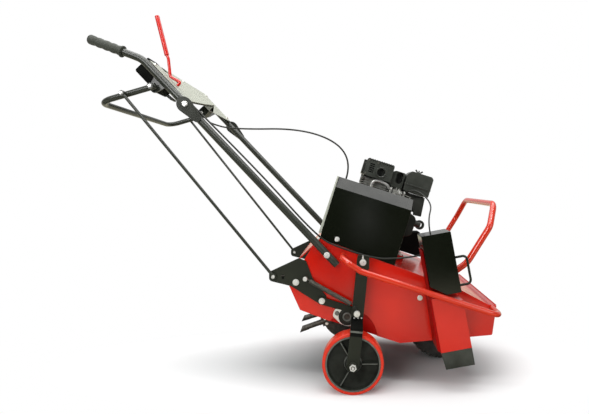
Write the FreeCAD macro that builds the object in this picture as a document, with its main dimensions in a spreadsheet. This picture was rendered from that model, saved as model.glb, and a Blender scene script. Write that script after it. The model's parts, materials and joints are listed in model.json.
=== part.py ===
import FreeCAD, Part
"""Lawn aerator: a walk-behind tined reel under a steel deck, with lifting rear wheels.

+X is forward, +Y is the machine's left and +Z is up. The origin is on the floor under the
middle of the machine. Sizes are millimetres and degrees.
"""
import math
import os
from types import SimpleNamespace

from FreeCAD import Placement, Rotation, Vector

DIMENSIONS = (
    # chassis stations
    ("axle_station", 191.1),
    ("wheel_base", 342),
    ("reel_setback", 20),
    ("reel_axis_height", 231),
    ("deck_pitch", 17.4),
    ("deck_half_width", 250),
    ("panel_gauge", 4),
    ("plate_gauge", 4),
    ("fit_gap", 0.3),
    ("pin_clearance", 0.3),
    # side panels, from the reel axis, along and square to the deck
    ("panel_tail", 219),
    ("panel_tail_rise", 40),
    ("panel_heel", 159),
    ("panel_drop", 33),
    ("panel_toe", 199),
    ("panel_shoulder", 167),
    ("panel_rise", 224),
    ("shoulder_bevel", 16),
    ("shield_bend_drop", 27),
    ("shield_foot_rise", 90),
    ("hood_break", 341),
    ("hood_break_rise", 201),
    ("hood_lip", 447),
    ("hood_lip_rise", 181),
    ("nose_reach", 473),
    ("nose_rise", 189),
    ("nose_foot", 489),
    ("nose_foot_rise", 87),
    ("arch_station", 33),
    ("arch_drop", 60),
    ("arch_radius", 87),
    ("bearing_plate_gauge", 6),
    ("bearing_plate_margin", 12),
    ("bearing_flange_reach", 48),
    ("bearing_flange_radius", 30),
    ("bearing_flange_gauge", 5),
    ("bearing_ear_radius", 12),
    ("bearing_boss_radius", 18),
    # rails and hoop
    ("rail_diameter", 19),
    ("rail_reach", 95),
    ("rail_rear_bend", 34),
    ("rail_front_bend", 40),
    ("rail_shoulder_lead", 25),
    ("rail_rear_setback", 34),
    ("rail_rear_height", 442),
    ("rail_front_lead", 472),
    ("rail_front_height", 260),
    ("rail_shoulder_height", 403),
    ("hoop_diameter", 22),
    ("hoop_foot_along", 292),
    ("hoop_ankle", 32),
    ("hoop_shin_lead", 392),
    ("hoop_shin_height", 411),
    ("hoop_shin_bend", 90),
    ("hoop_knee_lead", 470),
    ("hoop_knee_height", 535),
    ("hoop_top_lead", 499),
    ("hoop_top_height", 610),
    ("hoop_top_half", 187),
    ("hoop_bend", 45),
    # side case and its guard
    ("case_lead", 348),
    ("case_height", 334),
    ("case_lean", 10.4),
    ("case_length", 100),
    ("case_depth", 84),
    ("case_drop", 180),
    ("guard_length", 96),
    ("guard_rise", 198),
    ("guard_chamfer", 48),
    ("guard_chamfer_rise", 34),
    ("guard_handle_rod", 8),
    ("guard_handle_reach", 45),
    ("guard_handle_low", 12),
    ("guard_handle_high", 105),
    ("flap_drop", 235),
    ("flap_gauge", 5),
    # belt cover
    ("cover_rear", 168),
    ("cover_front", 102),
    ("cover_face_rise", 408),
    ("cover_depth", 104),
    ("cover_bevel", 37),
    # engine
    ("mount_rail_rear", 70),
    ("mount_rail_front", 150),
    ("mount_rail_half", 70),
    ("mount_rail_width", 36),
    ("engine_seat_rise", 231),
    ("crankcase_rear", 60),
    ("crankcase_front", 112),
    ("crankcase_rise", 400),
    ("crankcase_chamfer", 30),
    ("crankcase_nose", 38),
    ("crankcase_nose_top_drop", 16),
    ("crankcase_nose_foot_drop", 86),
    ("crankcase_nose_root_drop", 100),
    ("crankcase_far", 60),
    ("crankcase_depth", 164),
    ("crank_rise", 337),
    ("fan_radius", 104),
    ("fan_depth", 72),
    ("recoil_radius", 78),
    ("recoil_depth", 24),
    ("cylinder_rear", 92),
    ("cylinder_front", 20),
    ("cylinder_rise", 478),
    ("cylinder_far", 20),
    ("cylinder_depth", 100),
    ("muffler_rear", 100),
    ("muffler_front", 16),
    ("muffler_rise", 549),
    ("muffler_near", 110),
    ("muffler_depth", 130),
    ("intake_rear", 24),
    ("intake_depth", 84),
    ("cleaner_rear", 66),
    ("cleaner_front", 168),
    ("cleaner_base_rise", 468),
    ("cleaner_rise", 548),
    ("cleaner_near", 112),
    ("cleaner_depth", 108),
    ("tank_rear", 95),
    ("tank_front", 110),
    ("tank_rise", 535),
    ("tank_far", 150),
    ("tank_depth", 126),
    # handles
    ("tube_diameter", 25),
    ("tube_angle", 46.6),
    ("tube_foot_setback", 54),
    ("tube_foot_height", 408),
    ("tube_bend_rise", 692),
    ("tube_bend_radius", 90),
    ("grip_rise", 66),
    ("grip_run", 173),
    ("grip_length", 118),
    ("grip_diameter", 33),
    ("splice_below_bend", 214.4),
    ("splice_length", 62),
    ("splice_radius", 31),
    ("handle_bolt_along", 48),
    ("handle_bolt_diameter", 10),
    ("tray_below_bend", 196.4),
    ("panel_tray_length", 178),
    ("panel_tray_half", 260),
    ("tray_hood_rise", 32.2),
    ("tray_gauge", 3),
    ("tray_hood_crest", 68),
    ("tray_hood_tail", 160),
    ("tray_hood_near", 258),
    ("tray_hood_ridge", 33),
    ("control_box_start", 94),
    ("control_box_length", 116),
    ("control_box_depth", 64),
    ("control_box_near", 225),
    ("control_box_far", 160),
    ("lever_below_bend", 129.9),
    ("lever_run_height", 110),
    ("lever_grip_start", 105),
    ("lever_grip_height", 240),
    ("lever_knee_lead", 12),
    ("lever_knee_rise", 11.3),
    ("lever_shin_setback", 24),
    ("lever_shin_rise", 31),
    ("lever_thigh_setback", 31),
    ("lever_thigh_rise", 95),
    ("lever_run_setback", 38),
    ("lever_grip_setback", 36),
    ("lever_tip_setback", 70),
    ("bolt_head_depth", 7),
    ("bolt_head_diameter", 20),
    ("lever_side", 228),
    ("lever_stand", 2),
    ("lever_diameter", 10),
    ("lever_grip_diameter", 15),
    # lift linkage
    ("leg_pivot_lead", 33),
    ("leg_pivot_height", 421),
    ("leg_width", 40),
    ("leg_gauge", 8),
    ("leg_standoff", 27),
    ("leg_joggle_clearance", 9),
    ("leg_joggle_rise", 10),
    ("leg_outer_standoff", 84),
    ("pivot_pin_diameter", 12),
    ("pivot_head_diameter", 22),
    ("crank_pivot_setback", 193),
    ("crank_pivot_height", 348),
    ("crank_standoff", 1.5),
    ("crank_gauge", 4),
    ("crank_rod_setback", 75),
    ("crank_rod_rise", 21),
    ("crank_link_lead", 88),
    ("crank_link_drop", 62),
    ("crank_apex_lead", 32),
    ("crank_apex_rise", 80),
    ("crank_spring_lead", 33),
    ("crank_spring_rise", 15),
    ("link_gauge", 3.5),
    ("link_width", 26),
    ("link_pin_lead", 13),
    ("link_pin_height", 251),
    ("spring_diameter", 17),
    ("spring_lug_lead", 7),
    ("spring_lug_height", 271),
    ("small_pin_diameter", 10),
    ("spring_stud_diameter", 8),
    ("link_head_depth", 2),
    ("link_boss_diameter", 16),
    ("leg_boss_diameter", 24),
    ("crank_boss_diameter", 28),
    ("rod_diameter", 10),
    ("rod_eye_diameter", 18),
    ("rod_side_gap", 1.2),
    ("bail_diameter", 20),
    ("bail_pivot_below_bend", 96.2),
    ("bail_pivot_offset", 38.1),
    ("bail_rod_setback", 91),
    ("bail_rod_drop", 24.2),
    ("bail_reach", 177),
    ("bail_drop", 51.5),
    ("bail_standoff", 25),
    ("bail_bend", 45),
    ("bail_stub", 13),
    ("bail_bracket_half", 26),
    ("bail_bracket_foot_half", 14),
    ("bail_bracket_gauge", 5),
    # wheels
    ("rear_wheel_radius", 100),
    ("rear_wheel_width", 50),
    ("rear_core_radius", 90),
    ("rear_hub_radius", 29),
    ("rear_web_gauge", 16),
    ("wheel_standoff", 6),
    ("axle_diameter", 16),
    ("axle_collar_diameter", 26),
    ("axle_collar_depth", 6),
    ("axle_nut_diameter", 28),
    ("axle_nut_depth", 10),
    ("wheel_rib_count", 3),
    ("wheel_rib_gauge", 6),
    ("front_wheel_radius", 127),
    ("front_tyre_width", 104),
    ("front_rim_radius", 62),
    ("front_bracket_half", 68),
    ("front_bracket_width", 60),
    ("front_bracket_gauge", 6),
    ("front_axle_diameter", 20),
    # reel
    ("reel_tip_radius", 178),
    ("reel_half_width", 210),
    ("reel_disc_radius", 88),
    ("reel_disc_gauge", 6),
    ("reel_disc_count", 6),
    ("reel_tine_count", 4),
    ("tine_phase", 70.5),
    ("tine_step", 4),
    ("reel_shaft_diameter", 32),
    ("tine_diameter", 16),
    ("tine_root_radius", 70),
    # control cables
    ("cable_diameter", 6),
    ("clutch_cable_side", 200),
    ("clutch_cable_entry", 144),
    ("clutch_cable_drop_rise", 90),
    ("clip_length", 32),
    ("clip_setback", 2),
    ("clip_depth", 38),
    ("clip_width", 40),
    ("clutch_start_drop", 20),
    ("clutch_straight", 16),
    ("clutch_dip_lead", 38.6),
    ("clutch_dip_drop", 29.9),
    ("clutch_dip_side", 50),
    ("clutch_mid_lead", 129.8),
    ("clutch_mid_drop", 57.1),
    ("clutch_mid_side", 80),
    ("clutch_crest_setback", 150),
    ("clutch_crest_height", 876),
    ("speed_cable_leave", 110),
    ("speed_turn_setback", 44),
    ("speed_turn_height", 465),
    ("speed_dip_lead", 75),
    ("speed_dip_height", 427),
    ("speed_rise_lead", 150),
    ("speed_rise_height", 428),
    ("speed_entry_rise", 125),
    ("throttle_cable_diameter", 5),
    ("throttle_start_along", 76),
    ("throttle_start_rise", 462),
    ("throttle_exit_run", 34),
    ("throttle_crest_lead", 231),
    ("throttle_crest_height", 662),
    ("throttle_crest_side", 135),
    ("throttle_fall_lead", 281),
    ("throttle_fall_height", 613),
    ("throttle_fall_side", 190),
    ("throttle_entry", 55),
    ("throttle_entry_inset", 18),
    ("throttle_entry_drop", 40),
)

doc = FreeCAD.newDocument("LawnAerator")
sheet = doc.addObject("Spreadsheet::Sheet", "Sizes")
for row, (alias, value) in enumerate(DIMENSIONS, start=1):
    sheet.set(f"A{row}", alias)
    sheet.set(f"B{row}", str(value))
    sheet.setAlias(f"B{row}", alias)
doc.recompute()
S = SimpleNamespace(**{alias: float(sheet.get(alias)) for alias, _ in DIMENSIONS})

SIDES = (("right", -1), ("left", 1))
NODES = {}

PITCH = math.radians(S.deck_pitch)
LEAN = math.radians(S.case_lean)
TUBE = math.radians(S.tube_angle)
AXLE_X = S.axle_station
AXLE_Z = S.rear_wheel_radius
REEL_X = AXLE_X - S.reel_setback
HALF = S.deck_half_width
BEND = S.tube_bend_rise / math.sin(TUBE)
SPLICE = BEND - S.splice_below_bend


def keep(name, obj):
    """Give the finished sub-part its label and put it on the export list."""
    obj.Label = name
    NODES[name] = obj
    return obj


def deck_point(along, rise, side=0.0):
    """A point given along and square to the deck, from the reel axis."""
    x = REEL_X + along * math.cos(PITCH) + rise * math.sin(PITCH)
    z = S.reel_axis_height - along * math.sin(PITCH) + rise * math.cos(PITCH)
    return Vector(x, side, z)


def rounded_path(corners, closed):
    """Straight runs joined by tangent arcs, from (point, radius) corners."""
    count = len(corners)
    marks = []
    for index, (point, radius) in enumerate(corners):
        is_end = not closed and index in (0, count - 1)
        if radius == 0 or is_end:
            marks.append((point, None, point))
            continue
        before = (corners[index - 1][0] - point).normalize()
        after = (corners[(index + 1) % count][0] - point).normalize()
        half = before.getAngle(after) / 2
        reach = radius / math.tan(half)
        bisector = (before + after).normalize()
        middle = point + bisector * (radius / math.sin(half) - radius)
        marks.append((point + before * reach, middle, point + after * reach))
    edges = []
    for index, (start, middle, stop) in enumerate(marks):
        if middle is not None:
            edges.append(Part.Arc(start, middle, stop))
        if closed or index < count - 1:
            edges.append(Part.LineSegment(stop, marks[(index + 1) % count][0]))
    return edges


def ring_outline(radius):
    """A full circle as a square outline with its corners rounded right up."""
    corner = radius - 0.01
    return ((-radius, -radius, corner), (radius, -radius, corner),
            (radius, radius, corner), (-radius, radius, corner))


def flat_corners(outline):
    """Turn (a, b) or (a, b, radius) entries into corners on a sketch."""
    return [(Vector(p[0], p[1], 0), p[2] if len(p) > 2 else 0) for p in outline]


def on_deck(obj, start):
    """Place a profile in the deck's tilted frame, at a distance along Y."""
    obj.Placement = Placement(Vector(0, start, 0), Rotation(Vector(0, 1, 0), S.deck_pitch))
    obj.setExpression("Placement.Rotation.Angle", "Sizes.deck_pitch")
    obj.setExpression("Placement.Base.x", "Sizes.axle_station - Sizes.reel_setback")
    obj.setExpression("Placement.Base.z", "Sizes.reel_axis_height")


def on_case(obj, start):
    """Place a profile in the side case's leaning frame, at a distance along Y."""
    obj.Placement = Placement(Vector(0, start, 0), Rotation(Vector(0, 1, 0), -S.case_lean))
    obj.setExpression("Placement.Rotation.Angle", "-Sizes.case_lean")
    obj.setExpression("Placement.Base.x", "Sizes.axle_station + Sizes.case_lead")
    obj.setExpression("Placement.Base.z", "Sizes.case_height")


def profile(name, outline, depth, start, side, place, holes=()):
    """Pad an XZ outline outwards along Y: side -1 goes right, side 1 goes left."""
    body = doc.addObject("PartDesign::Body", name)
    sketch = body.newObject("Sketcher::SketchObject", name + "_outline")
    plane = [feature for feature in body.Origin.OriginFeatures if feature.Role == "XZ_Plane"]
    sketch.AttachmentSupport = [(plane[0], "")]
    sketch.MapMode = "FlatFace"
    for edge in rounded_path(flat_corners(outline), True):
        sketch.addGeometry(edge, False)
    for along, rise, diameter in holes:
        sketch.addGeometry(Part.Circle(Vector(along, rise, 0), Vector(0, 0, 1), diameter / 2), False)
    pad = body.newObject("PartDesign::Pad", name + "_pad")
    pad.Profile = sketch
    pad.setExpression("Length", depth)
    pad.Reversed = side > 0
    place(body, start)
    return body


def round_bar(name, x, z, start, length, diameter, side):
    """A round bar along Y from a start distance; length and diameter are expressions."""
    bar = doc.addObject("Part::Cylinder", name)
    bar.setExpression("Radius", f"({diameter}) / 2")
    bar.setExpression("Height", length)
    bar.Placement = Placement(Vector(x, start, z), Rotation(Vector(1, 0, 0), -90 * side))
    return bar


def joined(name, parts):
    """Fuse touching pieces, or hold separate ones in one node."""
    fuse = doc.addObject("Part::MultiFuse", name)
    fuse.Shapes = parts
    fuse.Refine = True
    return fuse


def less(name, base, tool):
    """Cut one piece by another."""
    cut = doc.addObject("Part::Cut", name)
    cut.Base = base
    cut.Tool = tool
    return cut


def swept_bar(name, corners, diameter, closed=False):
    """A round bar or tube bent along straight runs and arcs."""
    edges = [edge.toShape() for edge in rounded_path(corners, closed)]
    path = doc.addObject("Part::Feature", name + "_path")
    path.Shape = Part.Wire(edges)
    ring = doc.addObject("Part::Circle", name + "_section")
    ring.setExpression("Radius", f"({diameter}) / 2")
    heading = corners[1][0] - corners[0][0]
    ring.Placement = Placement(corners[0][0], Rotation(Vector(0, 0, 1), heading))
    sweep = doc.addObject("Part::Sweep", name)
    sweep.Sections = [ring]
    sweep.Spine = (path, [f"Edge{number}" for number in range(1, len(edges) + 1)])
    sweep.Solid = True
    return sweep


def panel_top(along):
    """Height of the panel's straight top edge, square to the deck."""
    share = (along + S.panel_shoulder) / (S.hood_break + S.panel_shoulder)
    return S.panel_rise + share * (S.hood_break_rise - S.panel_rise)


# deck -----------------------------------------------------------------------------------

def side_panels():
    drop = -S.panel_drop
    notch = math.sqrt(S.arch_radius ** 2 - (S.arch_drop - S.panel_drop) ** 2)
    for label, side in SIDES:
        name = f"side_panel_{label}"
        outline = (
            (-S.panel_tail, S.panel_tail_rise, 4),
            (-S.panel_heel, drop + 6, 4),
            (S.arch_station - notch, drop),
            (S.arch_station + notch, drop),
            (S.panel_toe, drop, 8),
            (S.nose_foot, S.nose_foot_rise, 6),
            (S.nose_reach, S.nose_rise, 6),
            (S.hood_lip, S.hood_lip_rise, 4),
            (S.hood_break, S.hood_break_rise),
            (-S.panel_shoulder, S.panel_rise),
            (-S.panel_shoulder - S.shoulder_bevel, S.panel_rise - 27, 4),
        )
        plate = profile(name + "_plate", outline, "Sizes.panel_gauge",
                        side * (HALF - S.panel_gauge), side, on_deck)
        arch = doc.addObject("Part::Cylinder", name + "_arch")
        arch.setExpression("Radius", "Sizes.arch_radius")
        arch.setExpression("Height", "Sizes.deck_half_width * 2 + Sizes.panel_gauge")
        centre = deck_point(S.arch_station, -S.arch_drop, -HALF - S.panel_gauge / 2)
        arch.Placement = Placement(centre, Rotation(Vector(1, 0, 0), -90))
        keep(name, less(name, plate, arch))


def bearing_plates():
    notch = S.arch_radius + S.bearing_plate_margin
    inner = HALF - S.panel_gauge - S.bearing_plate_gauge
    plates = []
    bearings = []
    for label, side in SIDES:
        outline = (
            (S.arch_station - notch, -S.panel_drop + S.fit_gap),
            (S.arch_station + notch, -S.panel_drop + S.fit_gap),
            (S.arch_station + notch, S.arch_radius - S.arch_drop + S.bearing_plate_margin, 40),
            (S.arch_station - notch, S.arch_radius - S.arch_drop + S.bearing_plate_margin, 40),
        )
        bore = S.reel_shaft_diameter + 2 * S.pin_clearance
        plates.append(profile(f"bearing_plate_{label}", outline, "Sizes.bearing_plate_gauge",
                              side * inner, side, on_deck, [(0, 0, bore)]))
        reach = S.bearing_flange_reach
        ring = S.bearing_flange_radius
        ear = S.bearing_ear_radius
        flange = (
            (-reach, ear, ear - 1),
            (-reach, -ear, ear - 1),
            (-ear, -ring, ring),
            (ear, -ring, ring),
            (reach, -ear, ear - 1),
            (reach, ear, ear - 1),
            (ear, ring, ring),
            (-ear, ring, ring),
        )
        ears = profile(f"bearing_flange_{label}", flange, "Sizes.bearing_flange_gauge",
                       side * HALF, side, on_deck, [(0, 0, bore)])
        boss = profile(f"bearing_boss_{label}", ring_outline(S.bearing_boss_radius),
                       "Sizes.panel_gauge + Sizes.bearing_flange_gauge",
                       side * (HALF - S.panel_gauge), side, on_deck, [(0, 0, bore)])
        bearings.append(joined(f"bearing_{label}", [ears, boss]))
    keep("bearing_plates", joined("bearing_plates", plates))
    keep("reel_bearings", joined("reel_bearings", bearings))


def deck_plates():
    inner = HALF - S.panel_gauge - S.fit_gap
    width = "2 * (Sizes.deck_half_width - Sizes.panel_gauge - Sizes.fit_gap)"
    gauge = S.plate_gauge
    skin = (
        (-S.panel_shoulder, S.panel_rise),
        (S.hood_break, S.hood_break_rise),
        (S.hood_break, S.hood_break_rise - gauge),
        (-S.panel_shoulder, S.panel_rise - gauge),
    )
    keep("deck_plate", profile("deck_plate", skin, width, inner, -1, on_deck))
    hood = (
        (S.hood_break + S.fit_gap, S.hood_break_rise),
        (S.hood_lip, S.hood_lip_rise),
        (S.nose_reach - gauge - S.fit_gap, S.nose_rise - 2),
        (S.nose_reach - gauge - S.fit_gap, S.nose_rise - 2 - gauge),
        (S.hood_lip, S.hood_lip_rise - gauge),
        (S.hood_break + S.fit_gap, S.hood_break_rise - gauge),
    )
    keep("hood_plate", profile("hood_plate", hood, width, inner, -1, on_deck))
    nose = (
        (S.nose_reach, S.nose_rise),
        (S.nose_foot, S.nose_foot_rise),
        (S.nose_foot - gauge, S.nose_foot_rise),
        (S.nose_reach - gauge, S.nose_rise),
    )
    keep("nose_plate", profile("nose_plate", nose, width, inner, -1, on_deck))
    shield = (
        (-S.panel_shoulder - S.fit_gap, S.panel_rise),
        (-S.panel_shoulder - S.shoulder_bevel, S.panel_rise - S.shield_bend_drop),
        (-S.panel_tail, S.panel_tail_rise + S.shield_foot_rise),
        (-S.panel_tail + gauge, S.panel_tail_rise + S.shield_foot_rise),
        (-S.panel_shoulder - S.shoulder_bevel + gauge, S.panel_rise - S.shield_bend_drop - 1),
        (-S.panel_shoulder - S.fit_gap, S.panel_rise - 6),
    )
    keep("rear_shield", profile("rear_shield", shield, width, inner, -1, on_deck))


def rails_and_hoop():
    for label, side in SIDES:
        outer = side * (HALF + S.rail_reach)
        near = side * HALF
        rear = AXLE_X - S.rail_rear_setback
        shoulder = AXLE_X + S.rail_shoulder_lead
        front = AXLE_X + S.rail_front_lead
        corners = [
            (Vector(rear, near, S.rail_rear_height), 0),
            (Vector(rear, outer, S.rail_rear_height), S.rail_rear_bend),
            (Vector(shoulder, outer, S.rail_shoulder_height), S.rail_rear_bend),
            (Vector(front, outer, S.rail_front_height), S.rail_front_bend),
            (Vector(front, near, S.rail_front_height), 0),
        ]
        name = f"bumper_rail_{label}"
        keep(name, swept_bar(name, corners, "Sizes.rail_diameter"))
    foot_y = HALF - S.panel_gauge - S.hoop_diameter / 2 - 1
    foot = deck_point(S.hoop_foot_along, panel_top(S.hoop_foot_along), foot_y)
    slope = PITCH + math.atan2(S.panel_rise - S.hood_break_rise, S.panel_shoulder + S.hood_break)
    normal = Vector(math.sin(slope), 0, math.cos(slope))
    shin = Vector(AXLE_X + S.hoop_shin_lead, foot_y, S.hoop_shin_height)
    half = [
        (foot + normal * S.fit_gap, 0),
        (foot + normal * S.hoop_ankle, S.hoop_ankle / 2),
        (shin, S.hoop_shin_bend),
        (Vector(AXLE_X + S.hoop_knee_lead, foot_y, S.hoop_knee_height), S.hoop_bend),
        (Vector(AXLE_X + S.hoop_top_lead, S.hoop_top_half, S.hoop_top_height), S.hoop_bend),
    ]
    mirrored = [(Vector(p.x, -p.y, p.z), radius) for p, radius in reversed(half)]
    keep("front_hoop", swept_bar("front_hoop", half + mirrored, "Sizes.hoop_diameter"))


# side case ------------------------------------------------------------------------------

def case_point(along, rise, side):
    """A point given along and up the leaning case, from its front shoulder."""
    x = AXLE_X + S.case_lead + along * math.cos(LEAN) - rise * math.sin(LEAN)
    z = S.case_height + along * math.sin(LEAN) + rise * math.cos(LEAN)
    return Vector(x, side, z)


def side_case():
    near = -(HALF + S.fit_gap)
    case = (
        (-S.case_length, -2, 3),
        (-S.case_length, -S.case_drop),
        (0, -S.case_drop),
        (0, -25, 3),
    )
    keep("side_case", profile("side_case", case, "Sizes.case_depth", near, -1, on_case))
    guard = (
        (-S.guard_length, S.guard_chamfer_rise),
        (-S.guard_length, S.guard_rise, 2),
        (0, S.guard_rise, 2),
        (0, S.fit_gap),
        (-S.guard_chamfer, S.fit_gap),
    )
    keep("case_guard", profile("case_guard", guard, "Sizes.case_depth", near, -1, on_case))
    middle = near - S.case_depth / 2
    reach = S.guard_handle_reach

    corners = [
        (case_point(0, S.guard_handle_high, middle), 0),
        (case_point(reach, S.guard_handle_high, middle), 14),
        (case_point(reach, S.guard_handle_low, middle), 14),
        (case_point(0, S.guard_handle_low, middle), 0),
    ]
    keep("guard_handle", swept_bar("guard_handle", corners, "Sizes.guard_handle_rod"))
    flap = (
        (-S.case_length, -S.case_drop - S.fit_gap),
        (-S.case_length + 6, -S.flap_drop),
        (0, -S.flap_drop),
        (0, -S.case_drop - S.fit_gap),
    )
    flap_start = near - S.case_depth + S.flap_gauge
    keep("rubber_flap", profile("rubber_flap", flap, "Sizes.flap_gauge", flap_start, -1, on_case))


def belt_cover():
    near = -HALF
    rise = S.cover_face_rise + S.cover_bevel
    outline = (
        (-S.cover_rear, panel_top(-S.cover_rear) + S.fit_gap),
        (-S.cover_rear, rise),
        (S.cover_front, rise),
        (S.cover_front, panel_top(S.cover_front) + S.fit_gap),
    )
    shell = profile("belt_cover_shell", outline, "Sizes.cover_depth",
                    near + S.cover_depth, -1, on_deck)
    wedge = doc.addObject("Part::Wedge", "belt_cover_bevel")
    length = S.cover_rear + S.cover_front + 2
    wedge.Xmin = 0
    wedge.Xmax = length
    wedge.X2min = 0
    wedge.X2max = length
    wedge.Ymin = 0
    wedge.Ymax = S.cover_bevel
    wedge.Zmin = 0
    wedge.Zmax = S.cover_bevel
    wedge.Z2min = 0
    wedge.Z2max = 0
    corner = deck_point(-S.cover_rear - 1, rise, near)
    wedge.Placement = Placement(corner, Rotation(Vector(0, 1, 0), S.deck_pitch)
                                * Rotation(Vector(1, 0, 0), -90))
    keep("belt_cover", less("belt_cover", shell, wedge))


# engine ---------------------------------------------------------------------------------

def slab(name, outline, start, depth):
    """A deck-frame outline padded to the right from a start distance by a sheet size."""
    keep(name, profile(name, outline, f"Sizes.{depth}", start, -1, on_deck))


def engine():
    seat = S.engine_seat_rise
    rails = []
    for label, side in SIDES:
        outline = (
            (-S.mount_rail_rear, panel_top(-S.mount_rail_rear) + S.fit_gap),
            (-S.mount_rail_rear, seat),
            (S.mount_rail_front, seat),
            (S.mount_rail_front, panel_top(S.mount_rail_front) + S.fit_gap),
        )
        start = side * S.mount_rail_half + S.mount_rail_width / 2
        rails.append(profile(f"mount_rail_{label}", outline, "Sizes.mount_rail_width",
                             start, -1, on_deck))
    keep("mount_rails", joined("mount_rails", rails))
    nose = S.crankcase_front + S.crankcase_nose
    block = (
        (-S.crankcase_rear, seat + S.fit_gap, 6),
        (-S.crankcase_rear, S.crankcase_rise - S.crankcase_chamfer, 12),
        (-S.crankcase_rear + S.crankcase_chamfer, S.crankcase_rise),
        (S.crankcase_front, S.crankcase_rise),
        (nose, S.crankcase_rise - S.crankcase_nose_top_drop, 20),
        (nose, S.crankcase_rise - S.crankcase_nose_foot_drop, 20),
        (S.crankcase_front, S.crankcase_rise - S.crankcase_nose_root_drop),
        (S.crankcase_front, seat + S.fit_gap, 6),
    )
    slab("engine_block", block, S.crankcase_far, "crankcase_depth")
    deck = S.crankcase_rise + S.fit_gap
    cylinder = (
        (-S.cylinder_rear, deck),
        (-S.cylinder_rear, S.cylinder_rise),
        (S.cylinder_front, S.cylinder_rise),
        (S.cylinder_front, deck),
    )
    slab("engine_cylinder", cylinder, S.cylinder_far, "cylinder_depth")
    muffler = (
        (-S.muffler_rear, S.cylinder_rise + S.fit_gap, 6),
        (-S.muffler_rear, S.muffler_rise, 10),
        (S.muffler_front, S.muffler_rise, 10),
        (S.muffler_front, S.cylinder_rise + S.fit_gap, 6),
    )
    slab("muffler", muffler, S.muffler_depth - S.muffler_near, "muffler_depth")
    intake = (
        (S.intake_rear, deck),
        (S.intake_rear, S.tank_rise - 3, 8),
        (S.cleaner_rear - 2, S.tank_rise - 3, 4),
        (S.cleaner_rear - 2, S.cleaner_base_rise - S.fit_gap),
        (S.cleaner_front - 8, S.cleaner_base_rise - S.fit_gap),
        (S.cleaner_front - 16, deck),
    )
    slab("intake", intake, 0, "intake_depth")
    cleaner = (
        (S.cleaner_rear, S.cleaner_base_rise, 5),
        (S.cleaner_rear, S.cleaner_rise, 16),
        (S.cleaner_front, S.cleaner_rise, 16),
        (S.cleaner_front, S.cleaner_base_rise, 5),
    )
    slab("air_cleaner", cleaner, S.cleaner_depth - S.cleaner_near, "cleaner_depth")
    fan_x = (S.crankcase_front - S.crankcase_rear) / 2
    centre = deck_point(fan_x, S.crank_rise)
    far = S.crankcase_far + S.fit_gap
    fan = round_bar("fan_drum", centre.x, centre.z, far, "Sizes.fan_depth", "2 * Sizes.fan_radius", 1)
    recoil = round_bar("recoil_drum", centre.x, centre.z, far + S.fan_depth,
                       "Sizes.recoil_depth", "2 * Sizes.recoil_radius", 1)
    keep("fan_housing", joined("fan_housing", [fan, recoil]))
    tank_floor = S.crank_rise + S.fan_radius + S.fit_gap
    tank = (
        (-S.tank_rear, tank_floor, 14),
        (-S.tank_rear, S.tank_rise, 22),
        (S.tank_front, S.tank_rise, 22),
        (S.tank_front, tank_floor, 14),
    )
    slab("fuel_tank", tank, S.tank_far, "tank_depth")


# handles --------------------------------------------------------------------------------

TUBE_Y = HALF + S.tube_diameter / 2 + S.fit_gap


def tube_point(along, offset=0.0, side=0.0):
    """A point given up the handle tube from its foot, and square to it."""
    x = AXLE_X - S.tube_foot_setback - along * math.cos(TUBE) + offset * math.sin(TUBE)
    z = S.tube_foot_height + along * math.sin(TUBE) + offset * math.cos(TUBE)
    return Vector(x, side, z)


def on_tube(obj, start):
    """Place a profile in the handle's frame: local x runs down the tube from its foot."""
    obj.Placement = Placement(Vector(0, start, 0), Rotation(Vector(0, 1, 0), S.tube_angle))
    obj.setExpression("Placement.Rotation.Angle", "Sizes.tube_angle")
    obj.setExpression("Placement.Base.x", "Sizes.axle_station - Sizes.tube_foot_setback")
    obj.setExpression("Placement.Base.z", "Sizes.tube_foot_height")


def handle_tubes():
    bolts = []
    splices = []
    for label, side in SIDES:
        y = side * TUBE_Y
        corner = tube_point(BEND, 0, y)
        tip = corner + Vector(-S.grip_run, 0, S.grip_rise)
        name = f"handle_tube_{label}"
        corners = [(tube_point(0, 0, y), 0), (corner, S.tube_bend_radius), (tip, 0)]
        tube = swept_bar(name + "_bar", corners, "Sizes.tube_diameter")
        spot = tube_point(S.handle_bolt_along, 0)
        hole = round_bar(name + "_hole", spot.x, spot.z, side * HALF,
                         "2 * Sizes.tube_diameter",
                         "Sizes.handle_bolt_diameter + 2 * Sizes.pin_clearance", side)
        keep(name, less(name, tube, hole))
        shank = round_bar(f"handle_bolt_{label}_shank", spot.x, spot.z, side * HALF,
                          "Sizes.tube_diameter + 3 * Sizes.fit_gap",
                          "Sizes.handle_bolt_diameter", side)
        head_start = side * (HALF + S.tube_diameter + 3 * S.fit_gap)
        head = round_bar(f"handle_bolt_{label}_head", spot.x, spot.z, head_start,
                         "Sizes.bolt_head_depth", "Sizes.bolt_head_diameter", side)
        bolts.extend([shank, head])
        run = (tip - corner).normalize()
        grip_name = f"grip_{label}"
        start = tip + run * 2 - run * S.grip_length
        sleeve = swept_bar(grip_name + "_sleeve", [(start, 0), (tip + run * 6, 0)],
                           "Sizes.grip_diameter")
        bore = swept_bar(grip_name + "_bore", [(start - run, 0), (tip + run * S.fit_gap, 0)],
                         "Sizes.tube_diameter + 2 * Sizes.fit_gap")
        keep(grip_name, less(grip_name, sleeve, bore))
        low = SPLICE - S.splice_length
        outline = (
            (-SPLICE - S.splice_radius, -S.splice_radius, S.splice_radius - 0.5),
            (-SPLICE - S.splice_radius, S.splice_radius, S.splice_radius - 0.5),
            (-low + 12, 12, 11),
            (-low + 12, -12, 11),
        )
        splices.append(profile(f"splice_plate_{label}", outline, "Sizes.plate_gauge",
                               side * (HALF + S.tube_diameter + 2 * S.fit_gap), side, on_tube))
    keep("handle_bolts", joined("handle_bolts", bolts))
    keep("splice_plates", joined("splice_plates", splices))


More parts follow.
